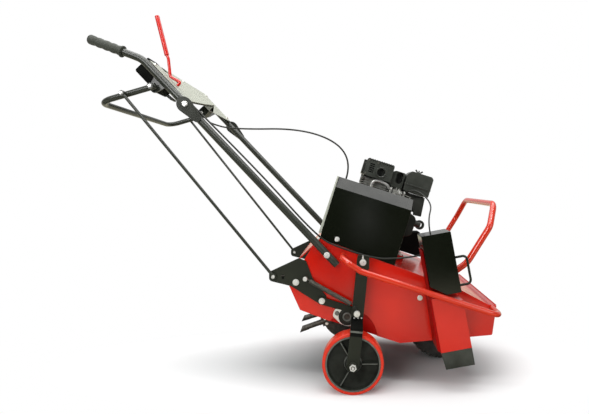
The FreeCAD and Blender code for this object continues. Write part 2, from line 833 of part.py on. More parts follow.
def tray_hood(name, floor, lead, inset):
    """A wedge rising from the tray's near edge to a ridge, cut back to a slope behind."""
    front = S.tray_below_bend - BEND
    crest = floor + S.tray_hood_rise
    sides = (
        (front + lead, floor),
        (front + lead, crest),
        (front - S.tray_hood_crest, crest),
        (front - S.tray_hood_tail, floor),
    )
    body = profile(name + "_body", sides, "Sizes.tray_hood_near - Sizes.tray_hood_ridge",
                   -S.tray_hood_ridge - inset, -1, on_tube)
    wedge = doc.addObject("Part::Wedge", name + "_wedge")
    length = S.tray_hood_tail + 2 * lead + 4
    wedge.Xmin = 0
    wedge.Xmax = length
    wedge.X2min = 0
    wedge.X2max = length
    wedge.Ymin = 0
    wedge.Ymax = S.tray_hood_near - S.tray_hood_ridge
    wedge.Zmin = 0
    wedge.Zmax = S.tray_hood_rise
    wedge.Z2min = 0
    wedge.Z2max = 0
    corner = tube_point(-front - lead - 1, floor, -S.tray_hood_ridge - inset)
    wedge.Placement = Placement(corner, Rotation(Vector(0, 1, 0), S.tube_angle)
                                * Rotation(Vector(0, 0, 1), 180))
    hood = doc.addObject("Part::Common", name)
    hood.Base = body
    hood.Tool = wedge
    return hood


def control_tray():
    top = S.tube_diameter / 2 + S.fit_gap
    start = S.tray_below_bend - BEND
    end = start - S.panel_tray_length
    gauge = S.tray_gauge
    plate = profile("control_tray_top",
                    ((end, top), (start, top), (start, top + gauge), (end, top + gauge)),
                    "2 * Sizes.panel_tray_half", S.panel_tray_half, -1, on_tube)
    hood = tray_hood("control_tray_hood", top, 0, 0)
    hollow = tray_hood("control_tray_hollow", top - gauge, 2, gauge)
    keep("control_tray", less("control_tray", joined("control_tray_sheet", [plate, hood]), hollow))
    rear = start - S.control_box_start
    case = (
        (rear - S.control_box_length, top - S.fit_gap, 3),
        (rear, top - S.fit_gap, 3),
        (rear, top - S.control_box_depth, 8),
        (rear - S.control_box_length, top - S.control_box_depth, 8),
    )
    keep("control_box", profile("control_box", case,
                                "Sizes.control_box_near - Sizes.control_box_far",
                                -S.control_box_far, -1, on_tube))
    clip_front = start - S.clip_setback
    clip = (
        (clip_front - S.clip_length, top - S.fit_gap, 1),
        (clip_front, top - S.fit_gap, 1),
        (clip_front, top - S.clip_depth, 4),
        (clip_front - S.clip_length, top - S.clip_depth, 4),
    )
    keep("cable_clip", profile("cable_clip", clip, "Sizes.clip_width", S.clip_width / 2, -1,
                               on_tube))
    slope = S.tray_hood_rise / (S.tray_hood_near - S.tray_hood_ridge)
    lift = top + slope * (S.tray_hood_near - S.lever_side) + S.lever_stand
    foot = tube_point(BEND - S.lever_below_bend, lift, -S.lever_side)
    bends = (
        (0, 0, 0),
        (S.lever_knee_lead, S.lever_knee_rise, 6),
        (-S.lever_shin_setback, S.lever_shin_rise, 12),
        (-S.lever_thigh_setback, S.lever_thigh_rise, 20),
        (-S.lever_run_setback, S.lever_run_height, 0),
    )
    rod = swept_bar("control_lever_rod",
                    [(foot + Vector(dx, 0, dz), radius) for dx, dz, radius in bends],
                    "Sizes.lever_diameter")
    grip = swept_bar("control_lever_grip",
                     [(foot + Vector(-S.lever_grip_setback, 0, S.lever_grip_start), 0),
                      (foot + Vector(-S.lever_tip_setback, 0, S.lever_grip_height), 0)],
                     "Sizes.lever_grip_diameter")
    keep("control_lever", joined("control_lever", [rod, grip]))


# lift linkage ---------------------------------------------------------------------------

BAIL_PIVOT = tube_point(BEND - S.bail_pivot_below_bend, -S.bail_pivot_offset)
BAIL_ROD = BAIL_PIVOT + Vector(-S.bail_rod_setback, 0, -S.bail_rod_drop)
CRANK = Vector(AXLE_X - S.crank_pivot_setback, 0, S.crank_pivot_height)
CRANK_ROD = CRANK + Vector(-S.crank_rod_setback, 0, S.crank_rod_rise)
CRANK_LINK = CRANK + Vector(S.crank_link_lead, 0, -S.crank_link_drop)
CRANK_SPRING = CRANK + Vector(S.crank_spring_lead, 0, S.crank_spring_rise)
LEG_PIVOT = Vector(AXLE_X + S.leg_pivot_lead, 0, S.leg_pivot_height)
LEG_LINK = Vector(AXLE_X + S.link_pin_lead, 0, S.link_pin_height)
LEG_SPRING = Vector(AXLE_X + S.spring_lug_lead, 0, S.spring_lug_height)

CRANK_FACE = HALF + S.crank_standoff
LINK_FACE = CRANK_FACE + S.crank_gauge + S.fit_gap
LEG_FACE = HALF + S.leg_standoff
SPRING_Y = LEG_FACE - S.spring_diameter / 2 - S.fit_gap


def plainly(obj, distance):
    """Place a profile whose outline is already in world X and Z."""
    obj.Placement = Placement(Vector(0, distance, 0), Rotation())


def bail():
    arm_y = HALF + S.bail_standoff
    corner = BAIL_PIVOT + Vector(-S.bail_reach, 0, -S.bail_drop)
    run = (corner - BAIL_PIVOT).normalize()
    start = BAIL_PIVOT - run * S.bail_stub
    half = [
        (Vector(start.x, arm_y, start.z), 0),
        (Vector(corner.x, arm_y, corner.z), S.bail_bend),
    ]
    mirrored = [(Vector(p.x, -p.y, p.z), radius) for p, radius in reversed(half)]
    piece = swept_bar("bail_bar", half + mirrored, "Sizes.bail_diameter")
    bore = "Sizes.small_pin_diameter + 2 * Sizes.pin_clearance"
    width = "2 * (Sizes.deck_half_width + 2 * Sizes.bail_standoff)"
    reach = HALF + 2 * S.bail_standoff
    pivot_hole = round_bar("bail_pivot_hole", BAIL_PIVOT.x, BAIL_PIVOT.z, reach, width, bore, -1)
    rod_hole = round_bar("bail_rod_hole", BAIL_ROD.x, BAIL_ROD.z, reach, width, bore, -1)
    keep("bail", less("bail", less("bail_pivoted", piece, pivot_hole), rod_hole))
    brackets = []
    for label, side in SIDES:
        along = BEND - S.bail_pivot_below_bend
        foot = S.bail_bracket_foot_half
        low = -S.bail_pivot_offset - foot
        brim = -S.tube_diameter / 2 - S.fit_gap
        outline = (
            (-along - S.bail_bracket_half, brim),
            (-along + S.bail_bracket_half, brim),
            (-along + foot, low, foot - 1),
            (-along - foot, low, foot - 1),
        )
        inner = HALF + S.tube_diameter / 2 - S.bail_bracket_gauge
        name = f"bail_bracket_{label}"
        plate = profile(name + "_plate", outline, "Sizes.bail_bracket_gauge",
                        side * inner, side, on_tube)
        pin_start = side * (inner + S.bail_bracket_gauge / 2)
        pin_length = arm_y + S.bail_diameter / 2 + S.fit_gap - abs(pin_start)
        shank = round_bar(name + "_pin", BAIL_PIVOT.x, BAIL_PIVOT.z, pin_start,
                          str(pin_length), "Sizes.small_pin_diameter", side)
        head = round_bar(name + "_head", BAIL_PIVOT.x, BAIL_PIVOT.z,
                         pin_start + side * pin_length, "Sizes.bolt_head_depth",
                         "Sizes.bolt_head_diameter", side)
        brackets.append(joined(name, [plate, shank, head]))
    keep("bail_brackets", joined("bail_brackets", brackets))


def rods():
    for label, side in SIDES:
        name = f"lift_rod_{label}"
        top_y = side * (HALF + S.bail_standoff + S.bail_diameter / 2 + S.rod_side_gap)
        low_y = side * LINK_FACE
        eye = S.rod_diameter
        top = round_bar(name + "_top_eye", BAIL_ROD.x, BAIL_ROD.z, top_y,
                        "Sizes.rod_diameter", "Sizes.rod_eye_diameter", side)
        pin = round_bar(name + "_pin", BAIL_ROD.x, BAIL_ROD.z,
                        top_y - side * (S.bail_diameter + S.rod_side_gap),
                        "Sizes.bail_diameter + Sizes.rod_diameter",
                        "Sizes.small_pin_diameter", side)
        low = round_bar(name + "_low_eye", CRANK_ROD.x, CRANK_ROD.z, low_y,
                        "Sizes.rod_diameter", "Sizes.rod_eye_diameter", side)
        ends = [
            (Vector(BAIL_ROD.x, top_y + side * eye / 2, BAIL_ROD.z), 0),
            (Vector(CRANK_ROD.x, low_y + side * eye / 2, CRANK_ROD.z), 0),
        ]
        bar = swept_bar(name + "_bar", ends, "Sizes.rod_diameter")
        keep(name, joined(name, [bar, top, pin, low]))


def cranks():
    for label, side in SIDES:
        name = f"crank_{label}"
        outline = [
            (-S.crank_rod_setback - 16, S.crank_rod_rise - 16, 13),
            (-S.crank_rod_setback - 16, S.crank_rod_rise + 14, 13),
            (S.crank_apex_lead - 22, S.crank_apex_rise + 2, 5),
            (S.crank_apex_lead + 2, S.crank_apex_rise - 8, 5),
            (S.crank_apex_lead + 24, S.crank_apex_rise - 66, 10),
            (S.crank_link_lead + 18, -S.crank_link_drop + 10, 14),
            (S.crank_link_lead + 2, -S.crank_link_drop - 18, 14),
            (-17, -13, 20),
        ]
        outline = [(CRANK.x + x, CRANK.z + z, radius) for x, z, radius in outline]
        small = S.small_pin_diameter + 2 * S.pin_clearance
        bores = [
            (CRANK.x, CRANK.z, S.pivot_pin_diameter + 2 * S.pin_clearance),
            (CRANK_LINK.x, CRANK_LINK.z, small),
        ]
        plate = profile(name + "_plate", outline, "Sizes.crank_gauge",
                        side * CRANK_FACE, side, plainly, bores)
        stud = round_bar(name + "_stud", CRANK_SPRING.x, CRANK_SPRING.z,
                         side * (CRANK_FACE + S.crank_gauge / 2),
                         str(SPRING_Y - CRANK_FACE), "Sizes.spring_stud_diameter", side)
        keep(name, joined(name, [plate, stud]))


def links():
    run = (LEG_LINK - CRANK_LINK).normalize()
    across = Vector(-run.z, 0, run.x)
    half = S.link_width / 2
    for label, side in SIDES:
        name = f"lift_link_{label}"
        corners = [
            CRANK_LINK - run * half + across * half,
            CRANK_LINK - run * half - across * half,
            LEG_LINK + run * (half - 3) - across * (half - 3),
            LEG_LINK + run * (half - 3) + across * (half - 3),
        ]
        outline = [(corner.x, corner.z, half - 4) for corner in corners]
        plate = profile(name + "_plate", outline, "Sizes.link_gauge",
                        side * LINK_FACE, side, plainly)
        pin = round_bar(name + "_pin", CRANK_LINK.x, CRANK_LINK.z,
                        side * (CRANK_FACE + S.fit_gap), "Sizes.crank_gauge + Sizes.link_gauge + 2",
                        "Sizes.small_pin_diameter", side)
        head = round_bar(name + "_head", CRANK_LINK.x, CRANK_LINK.z,
                         side * (LINK_FACE + S.link_gauge), "Sizes.link_head_depth",
                         "Sizes.bolt_head_diameter", side)
        boss = round_bar(name + "_boss", LEG_LINK.x, LEG_LINK.z, side * (LINK_FACE + 1),
                         str(LEG_FACE - S.fit_gap - LINK_FACE - 1),
                         "Sizes.link_boss_diameter", side)
        keep(name, joined(name, [plate, pin, head, boss]))


def springs():
    run = (LEG_SPRING - CRANK_SPRING).normalize()
    margin = S.spring_stud_diameter / 2 + S.fit_gap
    for label, side in SIDES:
        name = f"lift_spring_{label}"
        y = side * SPRING_Y
        start = CRANK_SPRING + run * margin
        stop = LEG_SPRING - run * margin
        coil = doc.addObject("Part::Cylinder", name)
        coil.setExpression("Radius", "Sizes.spring_diameter / 2")
        coil.Height = (stop - start).Length
        coil.Placement = Placement(Vector(start.x, y, start.z), Rotation(Vector(0, 0, 1), run))
        keep(name, coil)


def legs():
    axle = Vector(AXLE_X, 0, AXLE_Z)
    reach = (axle - LEG_PIVOT).Length
    lean = math.degrees(math.atan2(LEG_PIVOT.x - axle.x, LEG_PIVOT.z - axle.z))
    half = S.leg_width / 2
    turn = Rotation(Vector(0, 1, 0), lean)
    for label, side in SIDES:
        name = f"leg_{label}"
        outline = (
            (-half, half + 2, 5),
            (half, half + 2, 5),
            (half, -reach - half, half - 0.1),
            (-half, -reach - half, half - 0.1),
        )
        face = profile(name + "_face", outline, "2 * Sizes.leg_outer_standoff",
                       side * HALF, side, plainly,
                       [(0, 0, S.pivot_pin_diameter + 2 * S.pin_clearance)])
        face.Placement = Placement(Vector(LEG_PIVOT.x, side * HALF, LEG_PIVOT.z), turn)
        low = -(S.leg_pivot_height - 2 * S.rear_wheel_radius - S.leg_joggle_clearance)
        rise = S.leg_joggle_rise
        inner = S.leg_standoff
        outer = S.leg_outer_standoff
        gauge = S.leg_gauge
        bend = (
            (inner, half + 2),
            (inner, low + rise),
            (outer, low),
            (outer, -reach - half),
            (outer + gauge, -reach - half),
            (outer + gauge, low + gauge),
            (inner + gauge, low + rise + gauge),
            (inner + gauge, half + 2),
        )
        strip = strip_profile(name + "_strip", bend, "Sizes.leg_width")
        strip.Placement = Placement(
            LEG_PIVOT + Vector(0, side * HALF, 0) + turn.multVec(Vector(half, 0, 0) * -side),
            turn * Rotation(Vector(0, 0, 1), 0 if side > 0 else 180))
        body = doc.addObject("Part::Common", name + "_bar")
        body.Base = face
        body.Tool = strip
        hub = HALF + outer
        axle_start = hub - S.wheel_standoff - S.rear_wheel_width - S.fit_gap
        pieces = [
            body,
            round_bar(name + "_axle", axle.x, axle.z, side * axle_start,
                      str(hub + gauge - axle_start + 2), "Sizes.axle_diameter", side),
            round_bar(name + "_axle_head", axle.x, axle.z,
                      side * (axle_start - S.axle_collar_depth),
                      "Sizes.axle_collar_depth", "Sizes.axle_collar_diameter", side),
            round_bar(name + "_spacer", axle.x, axle.z,
                      side * (hub - S.wheel_standoff + S.fit_gap),
                      "Sizes.wheel_standoff", "Sizes.axle_collar_diameter", side),
            round_bar(name + "_nut", axle.x, axle.z, side * (hub + gauge),
                      "Sizes.axle_nut_depth", "Sizes.axle_nut_diameter", side),
            round_bar(name + "_link_bolt", LEG_LINK.x, LEG_LINK.z,
                      side * (LEG_FACE + gauge), "Sizes.bolt_head_depth",
                      "Sizes.bolt_head_diameter", side),
            round_bar(name + "_stud", LEG_SPRING.x, LEG_SPRING.z, side * SPRING_Y,
                      str(LEG_FACE - SPRING_Y + 1), "Sizes.spring_stud_diameter", side),
        ]
        keep(name, joined(name, pieces))
        pivots(label, side)


def pivots(label, side):
    """Fixed pins and spacers on the side panel that the leg and the crank turn on."""
    boss_length = S.leg_standoff - S.fit_gap
    pin_end = S.leg_standoff + S.leg_gauge + S.fit_gap
    name = f"lift_pivots_{label}"
    pieces = [
        round_bar(name + "_leg_boss", LEG_PIVOT.x, LEG_PIVOT.z, side * HALF,
                  str(boss_length), "Sizes.leg_boss_diameter", side),
        round_bar(name + "_leg_pin", LEG_PIVOT.x, LEG_PIVOT.z, side * HALF,
                  str(pin_end), "Sizes.pivot_pin_diameter", side),
        round_bar(name + "_leg_head", LEG_PIVOT.x, LEG_PIVOT.z, side * (HALF + pin_end),
                  "Sizes.bolt_head_depth", "Sizes.pivot_head_diameter", side),
        round_bar(name + "_crank_boss", CRANK.x, CRANK.z, side * HALF,
                  str(S.crank_standoff - S.fit_gap), "Sizes.crank_boss_diameter", side),
        round_bar(name + "_crank_pin", CRANK.x, CRANK.z, side * HALF,
                  str(S.crank_standoff + S.crank_gauge + S.fit_gap),
                  "Sizes.pivot_pin_diameter", side),
        round_bar(name + "_crank_head", CRANK.x, CRANK.z,
                  side * (HALF + S.crank_standoff + S.crank_gauge + S.fit_gap),
                  "Sizes.bolt_head_depth", "Sizes.pivot_head_diameter", side),
    ]
    keep(name, joined(name, pieces))


def strip_profile(name, outline, width):
    """Pad a YZ outline along X."""
    body = doc.addObject("PartDesign::Body", name)
    sketch = body.newObject("Sketcher::SketchObject", name + "_outline")
    plane = [feature for feature in body.Origin.OriginFeatures if feature.Role == "YZ_Plane"]
    sketch.AttachmentSupport = [(plane[0], "")]
    sketch.MapMode = "FlatFace"
    for edge in rounded_path(flat_corners(outline), True):
        sketch.addGeometry(edge, False)
    pad = body.newObject("PartDesign::Pad", name + "_pad")
    pad.Profile = sketch
    pad.setExpression("Length", width)
    return body


# wheels and reel ------------------------------------------------------------------------

def turned(name, outline, x, z, start, side):
    """Revolve a (radius, width) outline about an axle along Y; width runs outwards."""
    body = doc.addObject("PartDesign::Body", name)
    sketch = body.newObject("Sketcher::SketchObject", name + "_outline")
    plane = [feature for feature in body.Origin.OriginFeatures if feature.Role == "XZ_Plane"]
    sketch.AttachmentSupport = [(plane[0], "")]
    sketch.MapMode = "FlatFace"
    for edge in rounded_path(flat_corners(outline), True):
        sketch.addGeometry(edge, False)
    spin = body.newObject("PartDesign::Revolution", name + "_spin")
    spin.Profile = sketch
    spin.ReferenceAxis = (sketch, ["V_Axis"])
    spin.Angle = 360
    body.Placement = Placement(Vector(x, start, z), Rotation(Vector(1, 0, 0), -90 * side))
    return body


def rear_wheels():
    width = S.rear_wheel_width
    inner = HALF + S.leg_outer_standoff - S.wheel_standoff - width
    bore = S.axle_diameter / 2 + S.pin_clearance
    core_radius = S.rear_core_radius
    hub = S.rear_hub_radius
    low = (width - S.rear_web_gauge) / 2
    high = low + S.rear_web_gauge
    rim = core_radius - 9
    for label, side in SIDES:
        core = (
            (bore, 0),
            (hub, 0),
            (hub + 3, low),
            (rim - 3, low),
            (rim, 0),
            (core_radius, 0),
            (core_radius, width),
            (rim, width),
            (rim - 3, high),
            (hub + 3, high),
            (hub, width),
            (bore, width),
        )
        name = f"wheel_core_{label}"
        disc = turned(name + "_disc", core, AXLE_X, AXLE_Z, side * inner, side)
        ribs = []
        for number in range(int(S.wheel_rib_count)):
            rib = doc.addObject("Part::Box", f"{name}_rib_{number}")
            rib.setExpression("Length", "Sizes.wheel_rib_gauge")
            rib.Width = width - 2
            rib.Height = rim - hub + 2
            turn = Rotation(Vector(0, 1, 0), 360 * number / S.wheel_rib_count - 90)
            corner = Vector(-S.wheel_rib_gauge / 2, 1, hub - 1)
            seat = Vector(AXLE_X, min(side * inner, side * (inner + width)), AXLE_Z)
            rib.Placement = Placement(seat + turn.multVec(corner), turn)
            ribs.append(rib)
        keep(name, joined(name, [disc] + ribs))
        tyre = (
            (core_radius + S.fit_gap, 1),
            (S.rear_wheel_radius - 4, 0, 3),
            (S.rear_wheel_radius, 6, 6),
            (S.rear_wheel_radius, width - 6, 6),
            (S.rear_wheel_radius - 4, width, 3),
            (core_radius + S.fit_gap, width - 1),
        )
        name = f"wheel_tyre_{label}"
        keep(name, turned(name, tyre, AXLE_X, AXLE_Z, side * inner, side))


def front_wheel():
    x = AXLE_X + S.wheel_base
    z = S.front_wheel_radius
    half = S.front_tyre_width / 2
    crown = S.front_wheel_radius
    seat = S.front_rim_radius + S.fit_gap
    tyre = (
        (seat, -half + 14),
        (seat + 18, -half, 16),
        (crown - 18, -half + 2, 22),
        (crown, -half + 30, 30),
        (crown, half - 30, 30),
        (crown - 18, half - 2, 22),
        (seat + 18, half, 16),
        (seat, half - 14),
    )
    keep("front_tyre", turned("front_tyre", tyre, x, z, 0, -1))
    bore = S.front_axle_diameter / 2 + S.pin_clearance
    edge = half - 12
    rim = (
        (bore, -half),
        (bore + 14, -half),
        (bore + 14, -8),
        (S.front_rim_radius - 12, -8),
        (S.front_rim_radius - 6, -edge),
        (S.front_rim_radius, -edge),
        (S.front_rim_radius, edge),
        (S.front_rim_radius - 6, edge),
        (S.front_rim_radius - 12, 8),
        (bore + 14, 8),
        (bore + 14, half),
        (bore, half),
    )
    keep("front_rim", turned("front_rim", rim, x, z, 0, -1))
    away = Vector(x, 0, z) - deck_point(0, 0)
    along = away.x * math.cos(PITCH) - away.z * math.sin(PITCH)
    rise = away.x * math.sin(PITCH) + away.z * math.cos(PITCH)
    back = S.hood_break - 3
    tail = back - S.front_bracket_width
    under = S.plate_gauge + S.fit_gap
    outline = (
        (tail, panel_top(tail) - under),
        (back, panel_top(back) - under),
        (along + 24, rise + 16),
        (along + 16, rise - 18, 16),
        (along - 18, rise - 18, 16),
        (along - 34, rise + 20),
    )
    pieces = []
    for label, side in SIDES:
        pieces.append(profile(f"front_bracket_{label}", outline, "Sizes.front_bracket_gauge",
                              side * S.front_bracket_half, side, on_deck))
    pieces.append(round_bar("front_axle", x, z, S.front_bracket_half + 14,
                            "2 * (Sizes.front_bracket_half + 14)",
                            "Sizes.front_axle_diameter", -1))
    keep("front_fork", joined("front_fork", pieces))


def tine_reel():
    x = REEL_X
    z = S.reel_axis_height
    reach = HALF + S.bearing_flange_gauge
    pieces = [round_bar("reel_shaft", x, z, reach, str(2 * reach), "Sizes.reel_shaft_diameter", -1)]
    pitch = 2 * S.reel_half_width / (S.reel_disc_count - 1)
    for disc in range(int(S.reel_disc_count)):
        y = -S.reel_half_width + disc * pitch
        pieces.append(round_bar(f"reel_disc_{disc}", x, z, y + S.reel_disc_gauge / 2,
                                "Sizes.reel_disc_gauge", "2 * Sizes.reel_disc_radius", -1))
        for tine in range(int(S.reel_tine_count)):
            turn = 360 * tine / S.reel_tine_count + S.tine_phase + disc * S.tine_step
            spike = doc.addObject("Part::Cylinder", f"tine_{disc}_{tine}")
            spike.setExpression("Radius", "Sizes.tine_diameter / 2")
            spike.setExpression("Height", "Sizes.reel_tip_radius - Sizes.tine_root_radius")
            spin = Rotation(Vector(0, 1, 0), turn)
            root = Vector(x, y, z) + spin.multVec(Vector(0, 0, S.tine_root_radius))
            spike.Placement = Placement(root, spin)
            pieces.append(spike)
    keep("tine_reel", joined("tine_reel", pieces))


# control cables -------------------------------------------------------------------------

def cables():
    """Bowden cables held between the control tray, the belt cover and the carburettor."""
    side = -S.clutch_cable_side
    top = S.cover_face_rise + S.cover_bevel + S.fit_gap
    entry = -S.clutch_cable_entry
    clip_front = BEND - S.tray_below_bend + S.clip_setback
    leaves = tube_point(clip_front - S.fit_gap, -S.clutch_start_drop)
    route = [
        (leaves, 0),
        (tube_point(clip_front - S.clutch_straight, -S.clutch_start_drop), 18),
        (leaves + Vector(S.clutch_dip_lead, -S.clutch_dip_side, -S.clutch_dip_drop), 60),
        (leaves + Vector(S.clutch_mid_lead, -S.clutch_mid_side, -S.clutch_mid_drop), 120),
        (Vector(AXLE_X - S.clutch_crest_setback, side, S.clutch_crest_height), 150),
        (deck_point(entry, top + S.clutch_cable_drop_rise, side), 90),
        (deck_point(entry, top, side), 0),
    ]
    keep("clutch_cable", swept_bar("clutch_cable", route, "Sizes.cable_diameter"))
    lift = S.tube_diameter / 2 + S.cable_diameter / 2 + S.fit_gap
    beside = HALF + S.cable_diameter / 2 + S.fit_gap
    route = [
        (tube_point(SPLICE, lift, -TUBE_Y), 0),
        (tube_point((SPLICE + S.speed_cable_leave) / 2, lift + 10, -TUBE_Y), 300),
        (tube_point(S.speed_cable_leave, lift, -TUBE_Y), 60),
        (Vector(AXLE_X - S.speed_turn_setback, -beside, S.speed_turn_height), 60),
        (Vector(AXLE_X + S.speed_dip_lead, -beside, S.speed_dip_height), 90),
        (Vector(AXLE_X + S.speed_rise_lead, -beside, S.speed_rise_height), 80),
        (case_point(-S.guard_length - 30, S.speed_entry_rise, -beside), 20),
        (case_point(-S.guard_length - S.fit_gap, S.speed_entry_rise, -beside), 0),
    ]
    keep("speed_cable", swept_bar("speed_cable", route, "Sizes.cable_diameter"))
    start = deck_point(S.throttle_start_along, S.throttle_start_rise,
                       -S.intake_depth - S.fit_gap)
    entry = -(HALF + S.throttle_entry_inset)
    guard_top = S.guard_rise + S.fit_gap
    route = [
        (start, 0),
        (start - Vector(0, S.throttle_exit_run, 0), 25),
        (Vector(AXLE_X + S.throttle_crest_lead, -S.throttle_crest_side,
                S.throttle_crest_height), 30),
        (Vector(AXLE_X + S.throttle_fall_lead, -S.throttle_fall_side,
                S.throttle_fall_height), 30),
        (case_point(-S.throttle_entry, guard_top + S.throttle_entry_drop, entry), 25),
        (case_point(-S.throttle_entry, guard_top, entry), 0),
    ]
    keep("throttle_cable", swept_bar("throttle_cable", route, "Sizes.throttle_cable_diameter"))


def build():
    side_panels()
    bearing_plates()
    deck_plates()
    rails_and_hoop()
    side_case()
    belt_cover()
    engine()
    handle_tubes()
    control_tray()
    bail()
    rods()
    cranks()
    links()
    springs()
    legs()
    rear_wheels()
    front_wheel()
    tine_reel()
    cables()


def export():
    doc.recompute()
    for obj in doc.Objects:
        if "Invalid" in obj.State or "Error" in obj.State:
            raise RuntimeError(f"{obj.Label} failed: {obj.State}")
    for name, obj in NODES.items():
        if obj.Shape.isNull() or not obj.Shape.isValid():
            raise RuntimeError(f"{name} has no valid shape")
    os.makedirs("parts", exist_ok=True)
    for name, obj in NODES.items():
        obj.Shape.exportStep(f"parts/{name}.step")


build()
export()
print(f"{len(NODES)} sub-parts")
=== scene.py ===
"""Looks for the walk-behind lawn aerator: its finishes, its fine parts, and its studio."""
import json
import math

import bmesh
import bpy
from mathutils import Matrix, Vector


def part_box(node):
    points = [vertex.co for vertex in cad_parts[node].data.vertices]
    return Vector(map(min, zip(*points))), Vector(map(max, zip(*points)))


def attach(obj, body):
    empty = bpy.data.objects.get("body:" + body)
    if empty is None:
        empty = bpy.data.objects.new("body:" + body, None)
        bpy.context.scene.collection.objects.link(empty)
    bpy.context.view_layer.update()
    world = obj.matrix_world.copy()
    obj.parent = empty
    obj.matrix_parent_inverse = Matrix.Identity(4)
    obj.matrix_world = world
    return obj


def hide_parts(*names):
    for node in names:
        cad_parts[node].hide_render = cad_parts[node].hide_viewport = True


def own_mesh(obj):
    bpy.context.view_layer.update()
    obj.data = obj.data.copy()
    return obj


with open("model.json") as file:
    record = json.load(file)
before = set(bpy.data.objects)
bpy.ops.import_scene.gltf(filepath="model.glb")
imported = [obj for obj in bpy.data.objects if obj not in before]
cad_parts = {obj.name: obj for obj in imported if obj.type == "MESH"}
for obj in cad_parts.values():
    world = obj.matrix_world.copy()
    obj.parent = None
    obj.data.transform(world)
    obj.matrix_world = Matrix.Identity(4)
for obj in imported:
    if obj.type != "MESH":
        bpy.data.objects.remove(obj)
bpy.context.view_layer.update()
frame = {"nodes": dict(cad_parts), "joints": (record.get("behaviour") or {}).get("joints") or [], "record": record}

NODES = frame["nodes"]
MM = 0.001
ROOT = "frame"
SIDES = (("right", -1), ("left", 1))

PLACES = {joint["name"]: Vector(joint["pos_m"]) for joint in frame["joints"]}
AXLE = PLACES["right_wheel_spin"]
FRONT_AXLE = PLACES["front_wheel_spin"]
REEL = PLACES["tine_reel_spin"]
CRANK = PLACES["crank_right_swing"]
LEG = PLACES["leg_right_swing"]
BAIL = PLACES["bail_swing"]
BAIL_ROD = PLACES["rod_right_swing"]
CRANK_LINK = PLACES["link_right_swing"]
CRANK_SPRING = PLACES["spring_right_swing"]

# The build's own angles and places that the joints and boxes don't give, in radians and metres.
DECK_PITCH = math.radians(17.4)
CASE_LEAN = math.radians(10.4)
TUBE_SLOPE = math.radians(46.6)
CASE_CORNER = Vector((AXLE.x + 0.348, 0, 0.334))
TUBE_FOOT = Vector((AXLE.x - 0.054, 0, 0.408))
TUBE_Y = 0.2628
BEND = 0.692 / math.sin(TUBE_SLOPE)
CLIP = BEND - 0.1964
SPLICE = BEND - 0.2144
LEG_LINK = Vector((AXLE.x + 0.013, 0, 0.251))
LEG_SPRING = Vector((AXLE.x + 0.007, 0, 0.271))
CRANK_ROD = CRANK + Vector((-0.075, 0, 0.021))

# Stations out from the middle of the machine, in millimetres.
PANEL_FACE = 250
LEG_FACE = 285
FOOT_FACE = 342


def pitched(origin, pitch, along, rise, side):
    """A point along a line that pitches down from an origin, and square to it."""
    return Vector((origin.x + along * math.cos(pitch) + rise * math.sin(pitch), side,
                   origin.z - along * math.sin(pitch) + rise * math.cos(pitch)))


def on_deck(along, rise, side):
    """A point along the deck and square to it, from the reel's axis."""
    return pitched(REEL, DECK_PITCH, along, rise, side)


def on_case(along, rise, side):
    """A point along the leaning side case and up it, from its front shoulder."""
    return pitched(CASE_CORNER, -CASE_LEAN, along, rise, side)


def on_tube(along, lift=0.0, side=0.0):
    """A point up the handle tube from its foot, and lifted square to it."""
    return pitched(TUBE_FOOT, TUBE_SLOPE, -along, lift, side)


def down_tube(along, lift, side):
    """The same with its length counted down the tube, for outlines drawn from left to right."""
    return on_tube(-along, lift, side)


def over_ground(along, rise, side):
    """A point ahead of the rear axle and above the ground."""
    return Vector((AXLE.x + along, side, rise))


def from_point(centre):
    """The frame of outlines that are drawn square, from a point of their own."""
    return lambda along, rise, side: centre + Vector((along, side, rise))


def deck_spot(along, rise, side=0):
    """A point in the deck's frame, in millimetres."""
    return on_deck(along * MM, rise * MM, side * MM)


def deck_step(along, rise):
    """A step in the deck's frame, in millimetres."""
    return deck_spot(along, rise) - deck_spot(0, 0)


def across(point, y):
    """A point moved to a station on Y."""
    return Vector((point.x, y, point.z))


def beside(point, side, out):
    """A point moved to a station on one side, in millimetres out from the middle."""
    return across(point, side * out * MM)


def raised(point, rise):
    """A point raised by some millimetres."""
    return point + Vector((0, 0, rise * MM))


METRE = 1000
DECK_UP = deck_step(0, METRE).normalized()
DECK_FORE = deck_step(METRE, 0).normalized()
TUBE_UP = on_tube(0, 1) - on_tube(0, 0)
OUT_RIGHT = Vector((0, -1, 0))


# finishes -------------------------------------------------------------------------------

def wired(tree, node, inputs):
    """A node with its inputs linked to sockets or set to plain values."""
    for key, value in inputs.items():
        if isinstance(value, bpy.types.NodeSocket):
            tree.links.new(value, node.inputs[key])
        else:
            node.inputs[key].default_value = value
    return node


def put(tree, kind, inputs, **traits):
    """A new node in a tree, with its traits and then its inputs set."""
    node = tree.nodes.new(kind)
    for trait, value in traits.items():
        setattr(node, trait, value)
    return wired(tree, node, inputs)


def sums(tree, operation, *values):
    """Arithmetic on sockets and numbers."""
    return put(tree, "ShaderNodeMath", dict(enumerate(values)), operation=operation).outputs[0]


def spread(tree, value, low, high, start, stop, **traits):
    """Turn one range of a value into another, clamped."""
    return put(tree, "ShaderNodeMapRange", {
        "Value": value, "From Min": low, "From Max": high, "To Min": start, "To Max": stop},
        **traits).outputs["Result"]


def blended(tree, share, first, second):
    """Two colours mixed by a share; each is a colour or a socket."""
    first, second = [(*colour, 1) if isinstance(colour, tuple) else colour
                     for colour in (first, second)]
    return put(tree, "ShaderNodeMix", {"Factor": share, "A": first, "B": second},
               data_type="RGBA").outputs["Result"]


